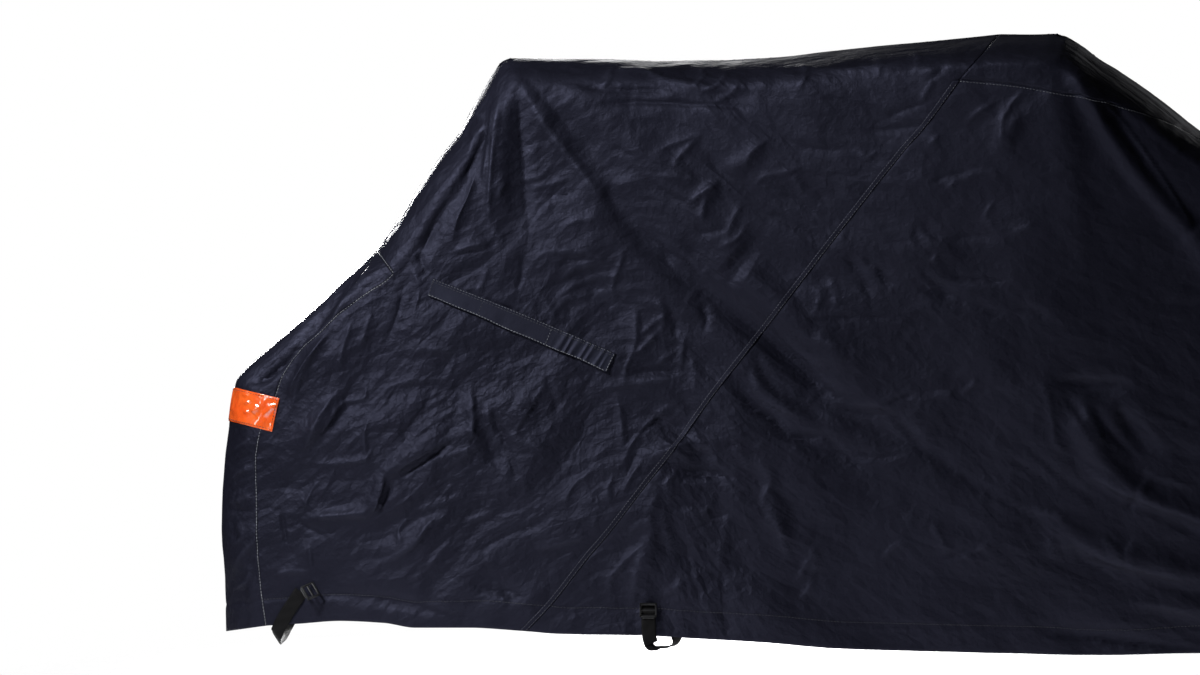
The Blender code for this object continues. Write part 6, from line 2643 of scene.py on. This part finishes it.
@dataclass
class Sewing:
    """The seams' bands and all stitches, with their distances from the edges."""

    rear: RearCloth
    right: FrontSide
    left: FrontSide
    tail: TailStrip
    flap: Flap
    patch: ReflectorPatch
    top_seam: float = 2.6
    tail_seam: float = -0.7     # over the gap of the seam, so outside the edge
    flap_sewn: Pair = (1.6, 5.0)        # a pale row and a dark row
    flap_free: float = 1.1
    flap_ends: Pair = (1.4, 2.0)        # the front end and the tail end
    flap_across: Pair = (0.28, 0.655)   # shares of its length where a dark and a pale row cross it
    patch_edge: float = 3.0
    patch_part: Pair = (0.02, 0.98)
    band_edge: float = 1.6      # in rows of the band's grid
    low: float = 0.1            # how far the threads lie off pieces, and off the cloth
    high: float = 0.2

    def __post_init__(self) -> None:
        """Make the bands, sew everything and join the rows of each thread."""
        near, far = self.rear.surfaces[0], self.rear.surfaces[-1]
        self.bands = [SeamBand("seam_band_right", near), SeamBand("seam_band_left", far)]
        self.thread = Stitching("stitches", THREAD)
        self.seam_thread = Stitching("seam_stitches", SEAM_THREAD, width=0.6, height=0.3)
        self.dark = Stitching("dark_stitches", DARK_THREAD)
        self.edging = Stitching("edge_stitches", THREAD, length=4.3, width=1.3)
        self.sew_bands()
        self.sew_strips(near, far)
        self.sew_flap()
        for edge in ("top", "bottom", "left", "right"):
            line = self.patch.surface.beside(edge, self.patch_edge, *self.patch_part)
            self.dark.row(self.patch.surface, line, self.low)
        for cloth, edge in (
            (near, "top"), (far, "bottom"),
            (self.right.surfaces[0], "top"), (self.left.surfaces[0], "bottom"),
        ):
            self.dark.row(cloth, cloth.beside(edge, RELIEF.hem_depth), self.high)
        threads = (self.thread, self.seam_thread, self.dark, self.edging)
        self.pieces = [band.piece for band in self.bands] + [rows.make() for rows in threads]

    def sew_bands(self) -> None:
        """Sew the bands along both their edges."""
        for band in self.bands:
            rows, columns = (count - 1 for count in band.surface.places.shape[:2])
            line = np.linspace(0, columns, 900)
            for row in (self.band_edge, rows - self.band_edge):
                self.seam_thread.row(band.surface, (np.full(len(line), row), line), self.low / 2)

    def sew_strips(self, near: Surface, far: Surface) -> None:
        """Sew along the seams of the front strip and round those of the tail strip.

        Args:
            near: The rear cloth's right-hand side.
            far: Its left-hand side.
        """
        for cloth, edge in ((self.right.surfaces[0], "bottom"), (self.left.surfaces[0], "top")):
            self.thread.row(cloth, cloth.beside(edge, self.top_seam), self.high)
        corner = self.rear.slope_columns / (self.rear.slope_columns + self.rear.crest_columns)
        for cloth, edge, part in (
            (near, "bottom", corner), (far, "top", corner), (near, "left", 1.0), (far, "left", 1.0),
            *((half, "top", 1.0) for half in self.tail.surfaces),
        ):
            self.edging.row(cloth, cloth.beside(edge, self.tail_seam, 0.0, part), self.high)

    def sew_flap(self) -> None:
        """Sew the flap's edges and across it."""
        face = self.flap.surface
        for used, edge, distance, lift in (
            (self.thread, "bottom", self.flap_sewn[0], self.low),
            (self.dark, "bottom", self.flap_sewn[1], self.low),
            (self.edging, "top", self.flap_free, 0.0),
            (self.edging, "right", self.flap_ends[0], 0.0),
            (self.dark, "left", self.flap_ends[1], self.low),
        ):
            used.row(face, face.beside(edge, distance), lift)
        rows = np.linspace(1, self.flap.rows - 1, 60)
        for share, used in zip(self.flap_across, (self.dark, self.thread)):
            used.row(face, (rows, np.full(len(rows), share * self.flap.columns)), self.low)


def main() -> None:
    """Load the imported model, build the cover over it and set up the studio."""
    logging.basicConfig(level=logging.INFO, format="%(message)s")
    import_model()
    Studio().make()
    rear, tail, right = RearCloth(), TailStrip(), FrontSide()
    left = FrontSide("front_side_left", side=Side.LEFT, columns=240, rows=90)
    top = TopStrip()
    flap, patch = Flap(), ReflectorPatch()
    straps = [SideStrap(), RearStrap()]
    buckles = make_buckles()
    sewing = Sewing(rear, right, left, tail, flap, patch)
    rear.declare(*sewing.pieces)
    for piece in (tail, right, left, top, flap, patch, *straps):
        piece.declare()
    log.info("buckles: %d", len(buckles))


if __name__ == "__main__":
    main()
